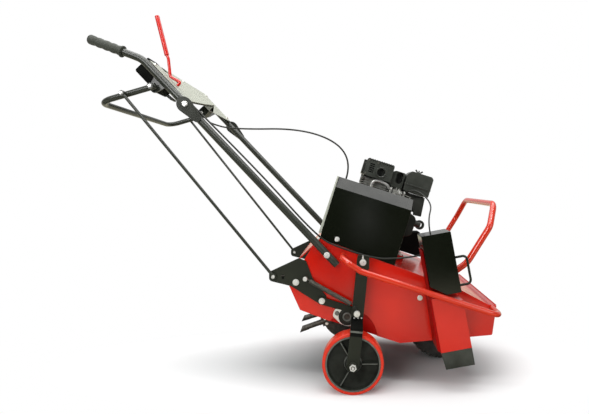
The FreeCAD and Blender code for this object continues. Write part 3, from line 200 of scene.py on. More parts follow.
def grain(tree, scale, detail, roughness=0.55):
    """Noise on the piece's own coordinates."""
    place = tree.nodes["Texture Coordinate"].outputs["Object"]
    return put(tree, "ShaderNodeTexNoise", {
        "Vector": place, "Scale": scale, "Detail": detail, "Roughness": roughness}).outputs["Fac"]


def facing(tree):
    """The surface's own normal."""
    return put(tree, "ShaderNodeNewGeometry", {}).outputs["Normal"]


def worn_edges(tree, radius):
    """How sharply the surface turns here, from 0 on a flat to 1 on an edge."""
    rounded_off = put(tree, "ShaderNodeBevel", {"Radius": radius}, samples=4).outputs["Normal"]
    turn = put(tree, "ShaderNodeVectorMath", {0: rounded_off, 1: facing(tree)},
               operation="DOT_PRODUCT")
    return spread(tree, turn.outputs["Value"], 0.98, 0.75, 0.0, 1.0)


def upward(tree):
    """How far the surface faces up."""
    split = put(tree, "ShaderNodeSeparateXYZ", {"Vector": facing(tree)})
    return spread(tree, split.outputs["Z"], 0.2, 1.0, 0.0, 1.0)


def bumped(tree, height, strength, distance):
    """A normal that follows a height."""
    return put(tree, "ShaderNodeBump", {
        "Height": height, "Strength": strength, "Distance": distance}).outputs["Normal"]


def new_finish(name):
    """A new material, its tree with the piece's coordinates in it, and its shader."""
    finish = bpy.data.materials.new(name)
    finish.use_nodes = True
    tree = finish.node_tree
    tree.nodes.new("ShaderNodeTexCoord")
    return finish, tree, tree.nodes["Principled BSDF"]


DUST = (0.5, 0.47, 0.42)
DUST_FILM = 0.06
CLEAR_COAT_ROUGHNESS = 0.12


def enamel(name, colour, deep, worn, roughness, coat, edge=0.5, peel=0.12, shine=0.33):
    """Sprayed paint: drifting tone, orange peel, rubbed edges and a film of dust on top."""
    finish, tree, shader = new_finish(name)
    tone = blended(tree, spread(tree, grain(tree, 5.5, 5), 0.32, 0.7, 0, 1), deep, colour)
    rubbed = sums(tree, "MULTIPLY", worn_edges(tree, 1.2 * MM),
                  spread(tree, grain(tree, 60, 4), 0.4, 0.65, 0, edge))
    film = sums(tree, "MULTIPLY", upward(tree),
                spread(tree, grain(tree, 22, 6), 0.35, 0.75, 0, DUST_FILM))
    wired(tree, shader, {
        "Base Color": blended(tree, film, blended(tree, rubbed, tone, worn), DUST),
        "Roughness": spread(tree, grain(tree, 14, 6), 0.3, 0.75, roughness * 0.75,
                            roughness * 1.35),
        "Specular IOR Level": shine, "Coat Weight": coat,
        "Coat Roughness": CLEAR_COAT_ROUGHNESS,
        "Normal": bumped(tree, grain(tree, 420, 2), peel, 0.4 * MM)})
    return finish


def bare_metal(name, colour, dull, roughness, metallic, bump=0.15):
    """Bare or plated metal with a cloudy bloom and fine tool marks."""
    finish, tree, shader = new_finish(name)
    cloud = spread(tree, grain(tree, 70, 6, 0.6), 0.3, 0.72, 0, 1)
    marks = grain(tree, 300, 4, 0.6)
    wired(tree, shader, {
        "Base Color": blended(tree, cloud, colour, dull), "Metallic": metallic,
        "Roughness": spread(tree, marks, 0.3, 0.7, roughness * 0.7, roughness * 1.4),
        "Normal": bumped(tree, marks, bump, 0.2 * MM)})
    return finish


def moulding(name, colour, worn, roughness, texture=0.25, scale=900, bloom=0.5, shine=0.3):
    """Rubber or moulded plastic: fine stipple, greyed bloom on its raised edges."""
    finish, tree, shader = new_finish(name)
    tone = blended(tree, spread(tree, grain(tree, 18, 6), 0.3, 0.75, 0, bloom), colour, worn)
    rubbed = sums(tree, "MULTIPLY", worn_edges(tree, 1.5 * MM),
                  spread(tree, grain(tree, 90, 3), 0.3, 0.7, 0.1, 0.6))
    wired(tree, shader, {
        "Base Color": blended(tree, rubbed, tone, worn),
        "Roughness": spread(tree, grain(tree, 30, 5), 0.3, 0.75, roughness * 0.85,
                            roughness * 1.15),
        "Specular IOR Level": shine,
        "Normal": bumped(tree, grain(tree, scale, 2), texture, 0.3 * MM)})
    return finish


RED = enamel("red enamel", (0.55, 0.010, 0.002), (0.47, 0.006, 0.001), (0.75, 0.17, 0.11),
             0.20, 0.1, peel=0.05, shine=0.45)
# Red darkened as painted shade for the recessed bearing plates, which sit back from the panel.
PAINTED_SHADE_RED = enamel("shaded red enamel", (0.43, 0.004, 0.002), (0.36, 0.003, 0.001),
                  (0.6, 0.1, 0.07), 0.3, 0.0, edge=0.2, shine=0.1)
# Darker red as painted shade on the side case's rear fold, a face turned away from the lamps.
PAINTED_SHADE_FOLD_RED = enamel("painted shade fold enamel", (0.27, 0.002, 0.001), (0.22, 0.001, 0.001),
                  (0.5, 0.06, 0.04), 0.35, 0.0, edge=0.2, shine=0.05)
GLOSS_RED = enamel("red tube enamel", (0.57, 0.026, 0.005), (0.48, 0.017, 0.003),
                   (0.75, 0.17, 0.11), 0.12, 0.5, edge=0, peel=0, shine=0.5)
BLACK = enamel("black powder coat", (0.020, 0.023, 0.015), (0.013, 0.015, 0.010),
               (0.13, 0.14, 0.12), 0.40, 0.0, edge=0.6, peel=0.2, shine=0.22)
COVER = enamel("black belt cover enamel", (0.005, 0.0065, 0.0035), (0.003, 0.004, 0.002),
               (0.10, 0.105, 0.095), 0.15, 0.05, edge=0.4, peel=0.06)
TUBE = enamel("black tube enamel", (0.027, 0.031, 0.023), (0.021, 0.024, 0.018),
              (0.15, 0.16, 0.14), 0.30, 0.1, edge=0, peel=0, shine=0.4)
TRAY = enamel("pale grey tray enamel", (0.375, 0.39, 0.325), (0.335, 0.345, 0.29),
              (0.6, 0.6, 0.54), 0.4, 0.0, edge=0.2, peel=0.02)
BLANK = enamel("blank label film", (0.66, 0.67, 0.60), (0.56, 0.57, 0.50),
               (0.5, 0.48, 0.42), 0.35, 0.0, edge=0.3, peel=0.05)
ZINC = bare_metal("bright zinc plate", (0.86, 0.86, 0.83), (0.66, 0.66, 0.62), 0.32, 0.5)
ALLOY = bare_metal("cast alloy", (0.50, 0.50, 0.46), (0.26, 0.26, 0.24), 0.42, 0.8, bump=0.5)
SPRING = bare_metal("oiled spring steel", (0.08, 0.078, 0.066), (0.15, 0.145, 0.12), 0.42, 0.6)
RIM_EDGE = bare_metal("worn iron rim", (0.19, 0.20, 0.18), (0.11, 0.115, 0.10), 0.5, 0.5)
TINE = bare_metal("dark tine steel", (0.045, 0.044, 0.04), (0.12, 0.11, 0.095), 0.5, 0.8,
                  bump=0.4)
WHEEL = moulding("red polyurethane", (0.60, 0.022, 0.006), (0.64, 0.07, 0.04), 0.3,
                 texture=0.08, scale=300, bloom=0.3)
CASTING = moulding("black cast iron", (0.006, 0.007, 0.005), (0.055, 0.06, 0.048), 0.5,
                   texture=0.6, scale=420, shine=0.2)
RUBBER = moulding("black rubber", (0.034, 0.038, 0.029), (0.075, 0.08, 0.068), 0.6,
                  texture=0.05)
TYRE = moulding("tyre rubber", (0.018, 0.018, 0.016), (0.12, 0.12, 0.11), 0.72,
                texture=0.3, scale=500)
COWL = moulding("black engine cowl", (0.017, 0.020, 0.015), (0.085, 0.09, 0.078), 0.34,
                scale=800, shine=0.45)
SHEATH = moulding("cable sheath", (0.012, 0.013, 0.010), (0.04, 0.042, 0.036), 0.4,
                  texture=0.05)
# Near-black painted shade: recesses, a slot, the control box and a shroud take it so they read as unlit.
PAINTED_SHADE_BLACK = moulding("painted shade black", (0.003, 0.0035, 0.003), (0.010, 0.011, 0.009), 0.7,
                 texture=0.05, shine=0.05)

FINISHES = {
    "red_paint": RED, "black_paint": BLACK, "tube_paint": TUBE, "tray_paint": TRAY,
    "zinc": ZINC, "wheel_red": WHEEL, "cast_black": CASTING, "black_rubber": RUBBER,
    "tyre": TYRE, "engine_black": COWL, "engine_alloy": ALLOY, "spring_black": SPRING,
    "tine_steel": TINE, "cable_black": SHEATH,
}
SLOT_OF = {part["node"]: part["material_slot"] for part in frame["record"]["subparts"]}
BODY_OF = {node: body for body, nodes in frame["record"]["behaviour"]["bodies"].items()
           for node in nodes}
# The bearing plates and the control box take painted-shade finishes here instead of their own colour.
OWN_FINISH = {
    "bearing_plates": PAINTED_SHADE_RED, "belt_cover": COVER, "case_guard": COVER, "rubber_flap": COWL,
    "control_box": PAINTED_SHADE_BLACK, "engine_block": CASTING, "front_hoop": GLOSS_RED,
    "bumper_rail_right": GLOSS_RED, "bumper_rail_left": GLOSS_RED,
}
USUAL_SLOT = {finish: slot for slot, finish in FINISHES.items()}
USUAL_SLOT |= {RIM_EDGE: "cast_black", PAINTED_SHADE_BLACK: "black_paint", PAINTED_SHADE_FOLD_RED: "red_paint",
               BLANK: "tray_paint"}
for node, piece in NODES.items():
    piece.data.materials.clear()
    piece.data.materials.append(OWN_FINISH.get(node, FINISHES[SLOT_OF[node]]))


# pieces ---------------------------------------------------------------------------------

# Edges that turn by more degrees than this stay sharp, and are the ones that get rounded.
SMOOTH_TURN = 35
# Faces that turn by less count as one flat, and vertices nearer than this as one.
FLAT_TURN = math.radians(0.6)
MERGED = 1e-6
ARC_STEPS = 5


def added(name, data):
    """A new object in the scene."""
    thing = bpy.data.objects.new(name, data)
    bpy.context.scene.collection.objects.link(thing)
    return thing


def final_mesh(thing):
    """What an object's modifiers or curve come to, as a plain mesh."""
    bpy.context.view_layer.update()
    return bpy.data.meshes.new_from_object(
        thing.evaluated_get(bpy.context.evaluated_depsgraph_get()))


def baked(draft):
    """A draft object's final mesh; the draft is thrown away."""
    mesh = final_mesh(draft)
    bpy.data.objects.remove(draft)
    return mesh


def as_mesh(name, form):
    """A bmesh turned into a mesh; a mesh stays as it is."""
    if not isinstance(form, bmesh.types.BMesh):
        return form
    mesh = bpy.data.meshes.new(name)
    form.to_mesh(mesh)
    form.free()
    return mesh


def drafted(name, form):
    """A throwaway object made from a bmesh or a mesh."""
    return added(name + "_draft", as_mesh(name, form))


def rounded(name, form, edge, steps):
    """A form with its hard edges rounded by some millimetres, as a mesh."""
    draft = drafted(name, form)
    if edge:
        bevel = draft.modifiers.new("rounding", "BEVEL")
        bevel.width = edge * MM
        bevel.segments = steps
        bevel.limit_method = "ANGLE"
        bevel.angle_limit = math.radians(SMOOTH_TURN)
    return baked(draft)


def settle(name, mesh, finish, body=ROOT, smooth=SMOOTH_TURN, instead_of=None, slot=None):
    """Put a finished mesh on its body, with its finish and its CAD node; the record slot it is given is not used.
    """
    piece = added(name, mesh)
    mesh.materials.clear()
    mesh.materials.append(finish)
    for face in mesh.polygons:
        face.use_smooth = True
    mesh.set_sharp_from_angle(angle=math.radians(smooth))
    level = piece.modifiers.new("even shading", "WEIGHTED_NORMAL")
    level.keep_sharp = True
    piece.data = final_mesh(piece)
    piece.modifiers.clear()
    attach(piece, body)
    if instead_of:
        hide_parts(instead_of)
    return piece


def fitted(name, form, finish, edge=0, steps=2, **traits):
    """A form with its edges rounded, settled on its body."""
    return settle(name, rounded(name, form, edge, steps), finish, **traits)


def softened(node, edge=0.8):
    """A CAD part with its flats made whole and its hard edges rounded."""
    form = bmesh.new()
    form.from_mesh(NODES[node].data)
    bmesh.ops.remove_doubles(form, verts=form.verts, dist=MERGED)
    bmesh.ops.dissolve_limit(form, angle_limit=FLAT_TURN, verts=form.verts, edges=form.edges)
    fitted(node + "_finished", form, NODES[node].data.materials[0], edge, body=BODY_OF[node],
           slot=SLOT_OF[node], instead_of=node)


def joined(name, forms):
    """Several meshes or bmeshes as one bmesh."""
    whole = bmesh.new()
    for form in forms:
        mesh = as_mesh(name, form)
        whole.from_mesh(mesh)
        bpy.data.meshes.remove(mesh)
    return whole


def moved(form, matrix):
    """A mesh or bmesh after a rigid move, as a bmesh."""
    whole = joined("moved", [form])
    bmesh.ops.transform(whole, matrix=matrix, verts=whole.verts)
    return whole


def cube(length, depth, height, centre, turn=Matrix()):
    """A block of a size in millimetres round a point, turned where it leans."""
    form = bmesh.new()
    bmesh.ops.create_cube(form, size=1)
    bmesh.ops.scale(form, vec=(length * MM, depth * MM, height * MM), verts=form.verts)
    bmesh.ops.transform(form, matrix=Matrix.Translation(centre) @ turn, verts=form.verts)
    return form


def prism(near, far):
    """A closed solid between two outlines of as many points."""
    form = bmesh.new()
    walls = [[form.verts.new(point) for point in outline] for outline in (near, far)]
    form.faces.new(walls[0])
    form.faces.new(list(reversed(walls[1])))
    for index in range(len(near)):
        after = (index + 1) % len(near)
        form.faces.new((walls[0][index], walls[1][index], walls[1][after], walls[0][after]))
    bmesh.ops.recalc_face_normals(form, faces=form.faces)
    return form


def corner_arc(before, corner, after, radius):
    """Points round one corner of an outline."""
    if radius == 0:
        return [corner]
    back = (before - corner).normalized()
    on = (after - corner).normalized()
    half = back.angle(on) / 2
    reach = radius / math.tan(half)
    centre = corner + (back + on).normalized() * (radius / math.sin(half))
    start = corner + back * reach - centre
    sweep = math.pi - 2 * half
    side = 1 if back.x * on.y - back.y * on.x < 0 else -1
    return [centre + Matrix.Rotation(side * sweep * step / ARC_STEPS, 2) @ start
            for step in range(ARC_STEPS + 1)]


def slab(corners, near, far, place=on_deck):
    """A plate from an outline of (along, rise[, radius]) corners, between stations on Y."""
    spots = [Vector(corner[:2]) * MM for corner in corners]
    points = []
    for index, corner in enumerate(corners):
        radius = corner[2] * MM if len(corner) > 2 else 0
        points += corner_arc(spots[index - 1], spots[index], spots[(index + 1) % len(spots)],
                             radius)
    return prism(*([place(point.x, point.y, side * MM) for point in points]
                   for side in (near, far)))


def box(length, height, near, far, along, rise):
    """A deck-frame block centred at (along, rise), between two stations on Y."""
    return slab([(along - length / 2, rise - height / 2), (along + length / 2, rise - height / 2),
                 (along + length / 2, rise + height / 2), (along - length / 2, rise + height / 2)],
                near, far)


def lathed(profile, centre, side, steps):
    """A (radius, outward) profile in millimetres turned about an axle along Y."""
    form = bmesh.new()
    rings = []
    for radius, out in profile:
        y = centre.y + side * out * MM
        rings.append([form.verts.new((centre.x + radius * MM * math.cos(math.tau * step / steps),
                                      y,
                                      centre.z + radius * MM * math.sin(math.tau * step / steps)))
                      for step in range(steps)])
    for ring, following in zip(rings, rings[1:] + rings[:1]):
        for step in range(steps):
            after = (step + 1) % steps
            form.faces.new((ring[step], ring[after], following[after], following[step]))
    bmesh.ops.remove_doubles(form, verts=form.verts, dist=1e-7)
    bmesh.ops.recalc_face_normals(form, faces=form.faces)
    return form


def both_ways(half, width=0, crown=()):
    """A turned profile from its half, with points between it and its mirror image."""
    return [*half, *crown, *((radius, width - out) for radius, out in reversed(half))]


def turned_bar(start, stop, radius, steps, tip=None):
    """A round bar between two points; a tip radius makes it a taper. Radii in millimetres."""
    form = bmesh.new()
    run = stop - start
    bmesh.ops.create_cone(form, cap_ends=True, segments=steps, radius1=radius * MM,
                          radius2=(radius if tip is None else tip) * MM, depth=run.length)
    turn = run.to_track_quat("Z", "Y").to_matrix().to_4x4()
    bmesh.ops.transform(form, matrix=Matrix.Translation((start + stop) / 2) @ turn,
                        verts=form.verts)
    return form


def round_stock(name, points, radius, facets, fineness):
    """A round rod along a smooth curve through given control points, as a curve."""
    curve = bpy.data.curves.new(name, "CURVE")
    curve.dimensions = "3D"
    curve.bevel_depth = radius
    curve.bevel_resolution = facets
    curve.resolution_u = fineness
    curve.use_fill_caps = True
    spline = curve.splines.new("NURBS")
    spline.points.add(len(points) - 1)
    for spot, point in zip(spline.points, points):
        spot.co = (*point, 1)
    spline.order_u = 3
    spline.use_endpoint_u = True
    return curve


def piped(name, points, radius):
    """A bent rod through given control points, as a mesh."""
    return baked(added(name + "_draft", round_stock(name, points, radius * MM, 6, 10)))


def carved(name, form, cutters):
    """A form with other forms cut out of it."""
    draft = drafted(name, form)
    tool = drafted(name + "_cutter", joined(name + "_cutters", cutters))
    cut = draft.modifiers.new("cut", "BOOLEAN")
    cut.operation = "DIFFERENCE"
    cut.solver = "EXACT"
    cut.use_self = True
    cut.object = tool
    whole = joined(name, [baked(draft)])
    bpy.data.objects.remove(tool)
    return whole


# repeats --------------------------------------------------------------------------------

def new_tree(name, **sockets):
    """A geometry tree with named inputs and a finish, and those inputs' sockets."""
    tree = bpy.data.node_groups.new(name, "GeometryNodeTree")
    tree.interface.new_socket("Geometry", in_out="INPUT", socket_type="NodeSocketGeometry")
    for key, kind in (*sockets.items(), ("finish", "Material")):
        tree.interface.new_socket(key.replace("_", " ").title(), in_out="INPUT",
                                  socket_type=f"NodeSocket{kind}")
    tree.interface.new_socket("Geometry", in_out="OUTPUT", socket_type="NodeSocketGeometry")
    return tree, tree.nodes.new("NodeGroupInput").outputs


def closed_tree(tree, shape, given):
    """End a tree the usual way: realize, set the finish, hand out."""
    real = put(tree, "GeometryNodeRealizeInstances", {"Geometry": shape})
    coat = put(tree, "GeometryNodeSetMaterial", {
        "Geometry": real.outputs["Geometry"], "Material": given["Finish"]})
    put(tree, "NodeGroupOutput", {"Geometry": coat.outputs["Geometry"]})
    return tree


def copies(tree, points, shape, turn=None):
    """The shape at every point, turned where a turn is given."""
    inputs = {"Points": points, "Instance": shape}
    if turn:
        inputs["Rotation"] = turn
    return put(tree, "GeometryNodeInstanceOnPoints", inputs).outputs["Instances"]


def grown(name, tree, form, **values):
    """Run a tree over a form and give back the plain mesh."""
    draft = drafted(name, form)
    modifier = draft.modifiers.new(tree.name, "NODES")
    modifier.node_group = tree
    for item in tree.interface.items_tree:
        key = item.name.lower().replace(" ", "_")
        if item.in_out == "INPUT" and key in values:
            modifier[item.identifier] = values[key]
    draft.update_tag()
    return baked(draft)


SHOULDER_HEIGHT = 0.45
SHOULDER_RADIUS = 0.86
SHOULDER_LIFT = 1.2
CORNER_OVER_FLAT = 0.577
CHAMFER_OVER_FLAT = 0.46
CHAMFER_LIFT = 0.6


def bolt_tree():
    """A flanged hex head at each point, standing along its aim and turned at random."""
    tree, given = new_tree("bolt heads", across_flats="Float", head_height="Float",
                           washer_radius="Float", washer_height="Float", thread_radius="Float",
                           thread_height="Float")
    flats, head, brim, washer, thread, tail = given[1:7]

    def times(value, share):
        """A size multiplied by a share."""
        return sums(tree, "MULTIPLY", value, share)

    def plus(first, second):
        """Two sizes added."""
        return sums(tree, "ADD", first, second)

    def disc(vertices, radius, depth, lift):
        """A round or six-sided layer of the stack, its middle lifted off the point."""
        bar = put(tree, "GeometryNodeMeshCylinder", {
            "Vertices": vertices, "Radius": radius, "Depth": depth})
        offset = put(tree, "ShaderNodeCombineXYZ", {"Z": lift})
        return put(tree, "GeometryNodeTransform", {
            "Geometry": bar.outputs["Mesh"], "Translation": offset.outputs["Vector"],
        }).outputs["Geometry"]

    stack = tree.nodes.new("GeometryNodeJoinGeometry")
    for shape in (
            disc(28, brim, washer, times(washer, 0.5)),
            disc(28, times(brim, SHOULDER_RADIUS), times(washer, SHOULDER_HEIGHT),
                 times(washer, SHOULDER_LIFT)),
            disc(6, times(flats, CORNER_OVER_FLAT), head, plus(washer, times(head, 0.5))),
            disc(24, times(flats, CHAMFER_OVER_FLAT), head,
                 plus(washer, times(head, CHAMFER_LIFT))),
            disc(14, thread, tail, plus(plus(washer, head), times(tail, 0.5)))):
        tree.links.new(shape, stack.inputs["Geometry"])
    aim = put(tree, "GeometryNodeInputNamedAttribute", {"Name": "aim"}, data_type="FLOAT_VECTOR")
    turn = put(tree, "FunctionNodeAlignRotationToVector", {"Vector": aim.outputs["Attribute"]},
               axis="Z")
    chance = put(tree, "FunctionNodeRandomValue", {"Seed": 7, 3: math.pi / 3}, data_type="FLOAT")
    twist = put(tree, "FunctionNodeAxisAngleToRotation", {
        "Axis": (0, 0, 1), "Angle": chance.outputs[1]})
    spun = put(tree, "FunctionNodeRotateRotation", {
        "Rotation": turn.outputs["Rotation"], "Rotate By": twist.outputs["Rotation"]},
        rotation_space="LOCAL")
    heads = copies(tree, given["Geometry"], stack.outputs["Geometry"], spun.outputs["Rotation"])
    return closed_tree(tree, heads, given)


def ring_tree():
    """Copies of the given shape turned about the Y axis through the origin."""
    tree, given = new_tree("copies round an axle", count="Int", first_turn="Float",
                           step_turn="Float")
    points = put(tree, "GeometryNodePoints", {"Count": given["Count"]})
    index = put(tree, "GeometryNodeInputIndex", {})
    angle = sums(tree, "MULTIPLY_ADD", index.outputs["Index"], given["Step Turn"],
                 given["First Turn"])
    turn = put(tree, "FunctionNodeAxisAngleToRotation", {"Axis": (0, 1, 0), "Angle": angle})
    return closed_tree(tree, copies(tree, points.outputs[0], given["Geometry"],
                                    turn.outputs["Rotation"]), given)


def row_tree():
    """Copies of the given shape stepped along a line."""
    tree, given = new_tree("copies along a line", count="Int", step="Vector")
    line = put(tree, "GeometryNodeMeshLine", {"Count": given["Count"], "Offset": given["Step"]})
    return closed_tree(tree, copies(tree, line.outputs["Mesh"], given["Geometry"]), given)


def spring_tree():
    """A close-wound extension spring along Z."""
    tree, given = new_tree("wound spring", turns="Float", coil_radius="Float",
                           wire_radius="Float", length="Float")
    coil = put(tree, "GeometryNodeCurveSpiral", {
        "Resolution": 16, "Rotations": given["Turns"], "Start Radius": given["Coil Radius"],
        "End Radius": given["Coil Radius"], "Height": given["Length"]})
    wire = put(tree, "GeometryNodeCurvePrimitiveCircle", {
        "Resolution": 8, "Radius": given["Wire Radius"]})
    wound = put(tree, "GeometryNodeCurveToMesh", {
        "Fill Caps": True, "Curve": coil.outputs["Curve"], "Profile Curve": wire.outputs["Curve"]})
    return closed_tree(tree, wound.outputs["Mesh"], given)


BOLTS = bolt_tree()
RING = ring_tree()
ROW = row_tree()
COIL = spring_tree()

# In millimetres: across flats, head, washer radius and height, thread radius and height.
BOLT_SIZES = {
    "bearing_bolts": (12, 5, 7.5, 1.4, 0, 0),
    "rod_bolts": (10, 4, 5.6, 1.5, 3, 1.5),
    "rod_pin_ends": (9, 2.4, 5.4, 1, 0, 0),
    "link_bolt": (15, 6, 10.4, 2.2, 4.5, 1.5),
    "crank_spring_bolt": (12, 5, 7.6, 1.4, 3.5, 1.2),
    "leg_link_bolt": (15, 4.5, 10.4, 7.2, 4.5, 1.5),
    "axle_nut": (20.4, 10.5, 11.3, 2.4, 4.2, 5),
    "leg_pivot_bolt": (17, 6, 11, 1.8, 5, 1.5),
    "crank_pivot_bolt": (17, 6, 11, 1.8, 5, 1.5),
    "leg_keeper_screws": (4, 1.6, 2.6, 0.5, 0, 0),
    "handle_bolt_heads": (16, 6, 10.4, 1.8, 5, 2),
    "splice_bolts": (15, 6, 9, 1.6, 4, 1.2),
    "bail_pivot_bolts": (8, 2, 5.4, 7.3, 2.4, 1),
    "panel_bolts": (12, 5, 9, 1.6, 0, 0),
    "cover_bolt": (12, 5, 8.5, 1.6, 0, 0),
    "muffler_bolts": (7, 2.5, 4.2, 0.8, 0, 0),
    "crankcase_bolts": (8, 4, 5.5, 0.8, 0, 0),
    "carburettor_screws": (7, 3, 4, 0.7, 0, 0),
    "starter_bolts": (8, 4, 6, 1, 0, 0),
    "tray_bolts": (10, 3.5, 7, 1, 0, 0),
    "clip_nut": (10, 4, 6, 1, 4, 2),
    "rail_bolts": (13, 7, 11, 2, 0, 0),
    "tine_clamp_bolts": (8, 4, 5.5, 1, 0, 0),
}


def bolts(kind, body, spots, label="", finish=ZINC, instead_of=None):
    """Hex bolts on one body at (point, outward direction) spots."""
    name = f"{kind}_{label}" if label else kind
    mesh = bpy.data.meshes.new(name)
    mesh.from_pydata([spot for spot, _ in spots], [], [])
    aims = mesh.attributes.new("aim", "FLOAT_VECTOR", "POINT")
    for aim, (_, outward) in zip(aims.data, spots):
        aim.vector = outward
    flats, head, brim, washer, thread, tail = [size * MM for size in BOLT_SIZES[kind]]
    made = grown(name, BOLTS, mesh, across_flats=flats, head_height=head, washer_radius=brim,
                 washer_height=washer, thread_radius=thread, thread_height=tail, finish=finish)
    settle(name, made, finish, body, instead_of=instead_of)


def round_axle(name, form, count, centre, finish, first=0.0):
    """Copies of a form turned about an axle along Y through a point."""
    mesh = grown(name, RING, moved(form, Matrix.Translation(-centre)), count=count,
                 first_turn=first, step_turn=math.tau / count, finish=finish)
    return moved(mesh, Matrix.Translation(centre))


def in_row(name, form, count, step, finish=COWL):
    """Copies of a form stepped along a vector."""
    return joined(name, [grown(name, ROW, form, count=count, step=step, finish=finish)])


# wheels ---------------------------------------------------------------------------------

def rear_wheel(label, side):
    """A cast core with three ribs a side and a bonded polyurethane tread."""
    body = f"{label}_wheel"
    low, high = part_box(f"wheel_tyre_{label}")
    inner = min(abs(low.y), abs(high.y)) / MM
    width = (high.y - low.y) / MM
    centre = beside(AXLE, side, inner)
    middle = beside(AXLE, side, inner + width / 2)
    first = math.radians(90)
    core = lathed(both_ways((
        (8.3, 0.5), (20, 0.5), (21, 1.5), (23, 4), (26, 6), (28.5, 15), (31, 17), (60, 18.5),
        (80, 15), (82.5, 4), (84, 1), (89.2, 1)), width), centre, side, 96)
    ribs = round_axle(body + "_ribs", cube(5, width - 9, 56, raised(middle, 54)), 3, middle,
                      CASTING, first)
    fitted(body + "_casting", joined("core", [core, ribs]), CASTING, 0.9, smooth=30,
           instead_of=f"wheel_core_{label}", body=body)
    band = lathed(((84.4, width - 0.6), (88.9, width - 0.6), (88.9, width - 0.9),
                   (84.4, width - 0.9)), centre, side, 96)
    hub = lathed(((26.2, width - 6.2), (28.9, width - 14.6), (29.4, width - 14.2),
                  (26.9, width - 5.6)), centre, side, 64)
    boss = lathed(((20.5, width - 0.3), (14, width - 0.1), (14, width - 0.6), (20.5, width - 0.6)),
                  centre, side, 48)
    outer = beside(AXLE, side, inner + width - 4.3)
    ridges = round_axle(body + "_ridges", cube(2.7, 0.8, 50, raised(outer, 55)), 3, outer,
                        RIM_EDGE, first)
    fitted(body + "_machined_edge", joined("edge", [band, hub, boss, ridges]), RIM_EDGE, body=body)
    tread = lathed(both_ways((
        (89.6, 0.8), (95, 0.2), (97.6, 0.7), (99.3, 2.6), (99.9, 7)), width,
        ((100, width / 2),)), centre, side, 120)
    fitted(body + "_tread", tread, WHEEL, smooth=50, instead_of=f"wheel_tyre_{label}", body=body)


FRONT_LUGS = 30
FRONT_TREAD_RADIUS = 0.1225
LUG_SHARE = 0.46


def front_wheel():
    """A small pneumatic tyre with a zigzag tread on a pressed rim."""
    carcass = lathed(both_ways((
        (62.5, -38), (70, -46), (82, -51.5), (98, -51.8), (110, -48), (117.5, -41), (121, -30)),
        crown=((122.2, 0),)), FRONT_AXLE, -1, 96)
    lug_width = LUG_SHARE * math.tau * FRONT_TREAD_RADIUS / FRONT_LUGS / MM
    lugs = []
    for lane, skew in ((-36, 1), (-12, -1), (12, 1), (36, -1)):
        on_shoulder = abs(lane) > 20
        centre = FRONT_AXLE + Vector((0, lane * MM, (118.4 if on_shoulder else 121.2) * MM))
        tilt = Matrix.Rotation(math.radians(-0.55 * lane) if on_shoulder else 0, 4, "X")
        lean = Matrix.Rotation(math.radians(34 * skew), 4, "Z")
        lugs.append(round_axle("tread_lugs", cube(lug_width, 25, 8, centre, tilt @ lean),
                               FRONT_LUGS, FRONT_AXLE, TYRE))
    fitted("front_tyre_tread", joined("front_tyre", [carcass] + lugs), TYRE, smooth=30,
           instead_of="front_tyre", body="front_wheel")
    rim = lathed(both_ways((
        (10.3, -50), (20, -50), (21, -47), (22, -12), (40, -9), (50, -14), (54, -36),
        (61.5, -39))), FRONT_AXLE, -1, 72)
    fitted("front_wheel_rim", rim, CASTING, smooth=30, instead_of="front_rim", body="front_wheel")


# reel -----------------------------------------------------------------------------------

REEL_DISCS = 6
REEL_HALF = 210
REEL_TINES = 4
TINE_PHASE = math.radians(70.5)
TINE_STEP = math.radians(4)


def hollow_tine():
    """A coring tine pointing up from the reel's axis: a tube with a cut window and point."""
    tube = lathed(((6, 0), (9.4, 0), (9.4, 96), (6, 96)), Vector(), 1, 20)
    tube = moved(tube, Matrix.Translation((0, 0, 82 * MM))
                 @ Matrix.Rotation(math.radians(90), 4, "X"))
    window = cube(14, 30, 40, (-14 * MM, 0, 124 * MM))
    point = cube(60, 40, 30, (0, 0, 190 * MM), Matrix.Rotation(math.radians(40), 4, "Y"))
    return carved("tine", tube, [window, point])


def tine_reel():
    """Discs on a shaft, each with coring tines held by a clamp plate and two bolts."""
    forms = [lathed(both_ways(((0.01, -255), (13, -255), (16, -252))), REEL, -1, 40)]
    spots = []
    for disc in range(REEL_DISCS):
        centre = across(REEL, (-REEL_HALF + disc * 2 * REEL_HALF / (REEL_DISCS - 1)) * MM)
        forms.append(lathed(both_ways(((16, -3), (88, -3))), centre, -1, 48))
        tine = moved(hollow_tine(), Matrix.Translation(centre))
        clamp = cube(30, 15, 34, raised(centre, 76))
        first = TINE_PHASE + disc * TINE_STEP
        forms.append(round_axle("tines", joined("tine", [tine, clamp]), REEL_TINES, centre,
                                TINE, first))
        for number in range(REEL_TINES):
            turn = Matrix.Rotation(first + number * math.tau / REEL_TINES, 3, "Y")
            for offset in (-9, 9):
                arm = turn @ Vector((offset * MM, 0, 78 * MM))
                spots.append((centre + arm + OUT_RIGHT * 7.5 * MM, OUT_RIGHT))
    fitted("coring_reel", joined("tine_reel", forms), TINE, smooth=30, instead_of="tine_reel",
           body="tine_reel")
    bolts("tine_clamp_bolts", "tine_reel", spots)


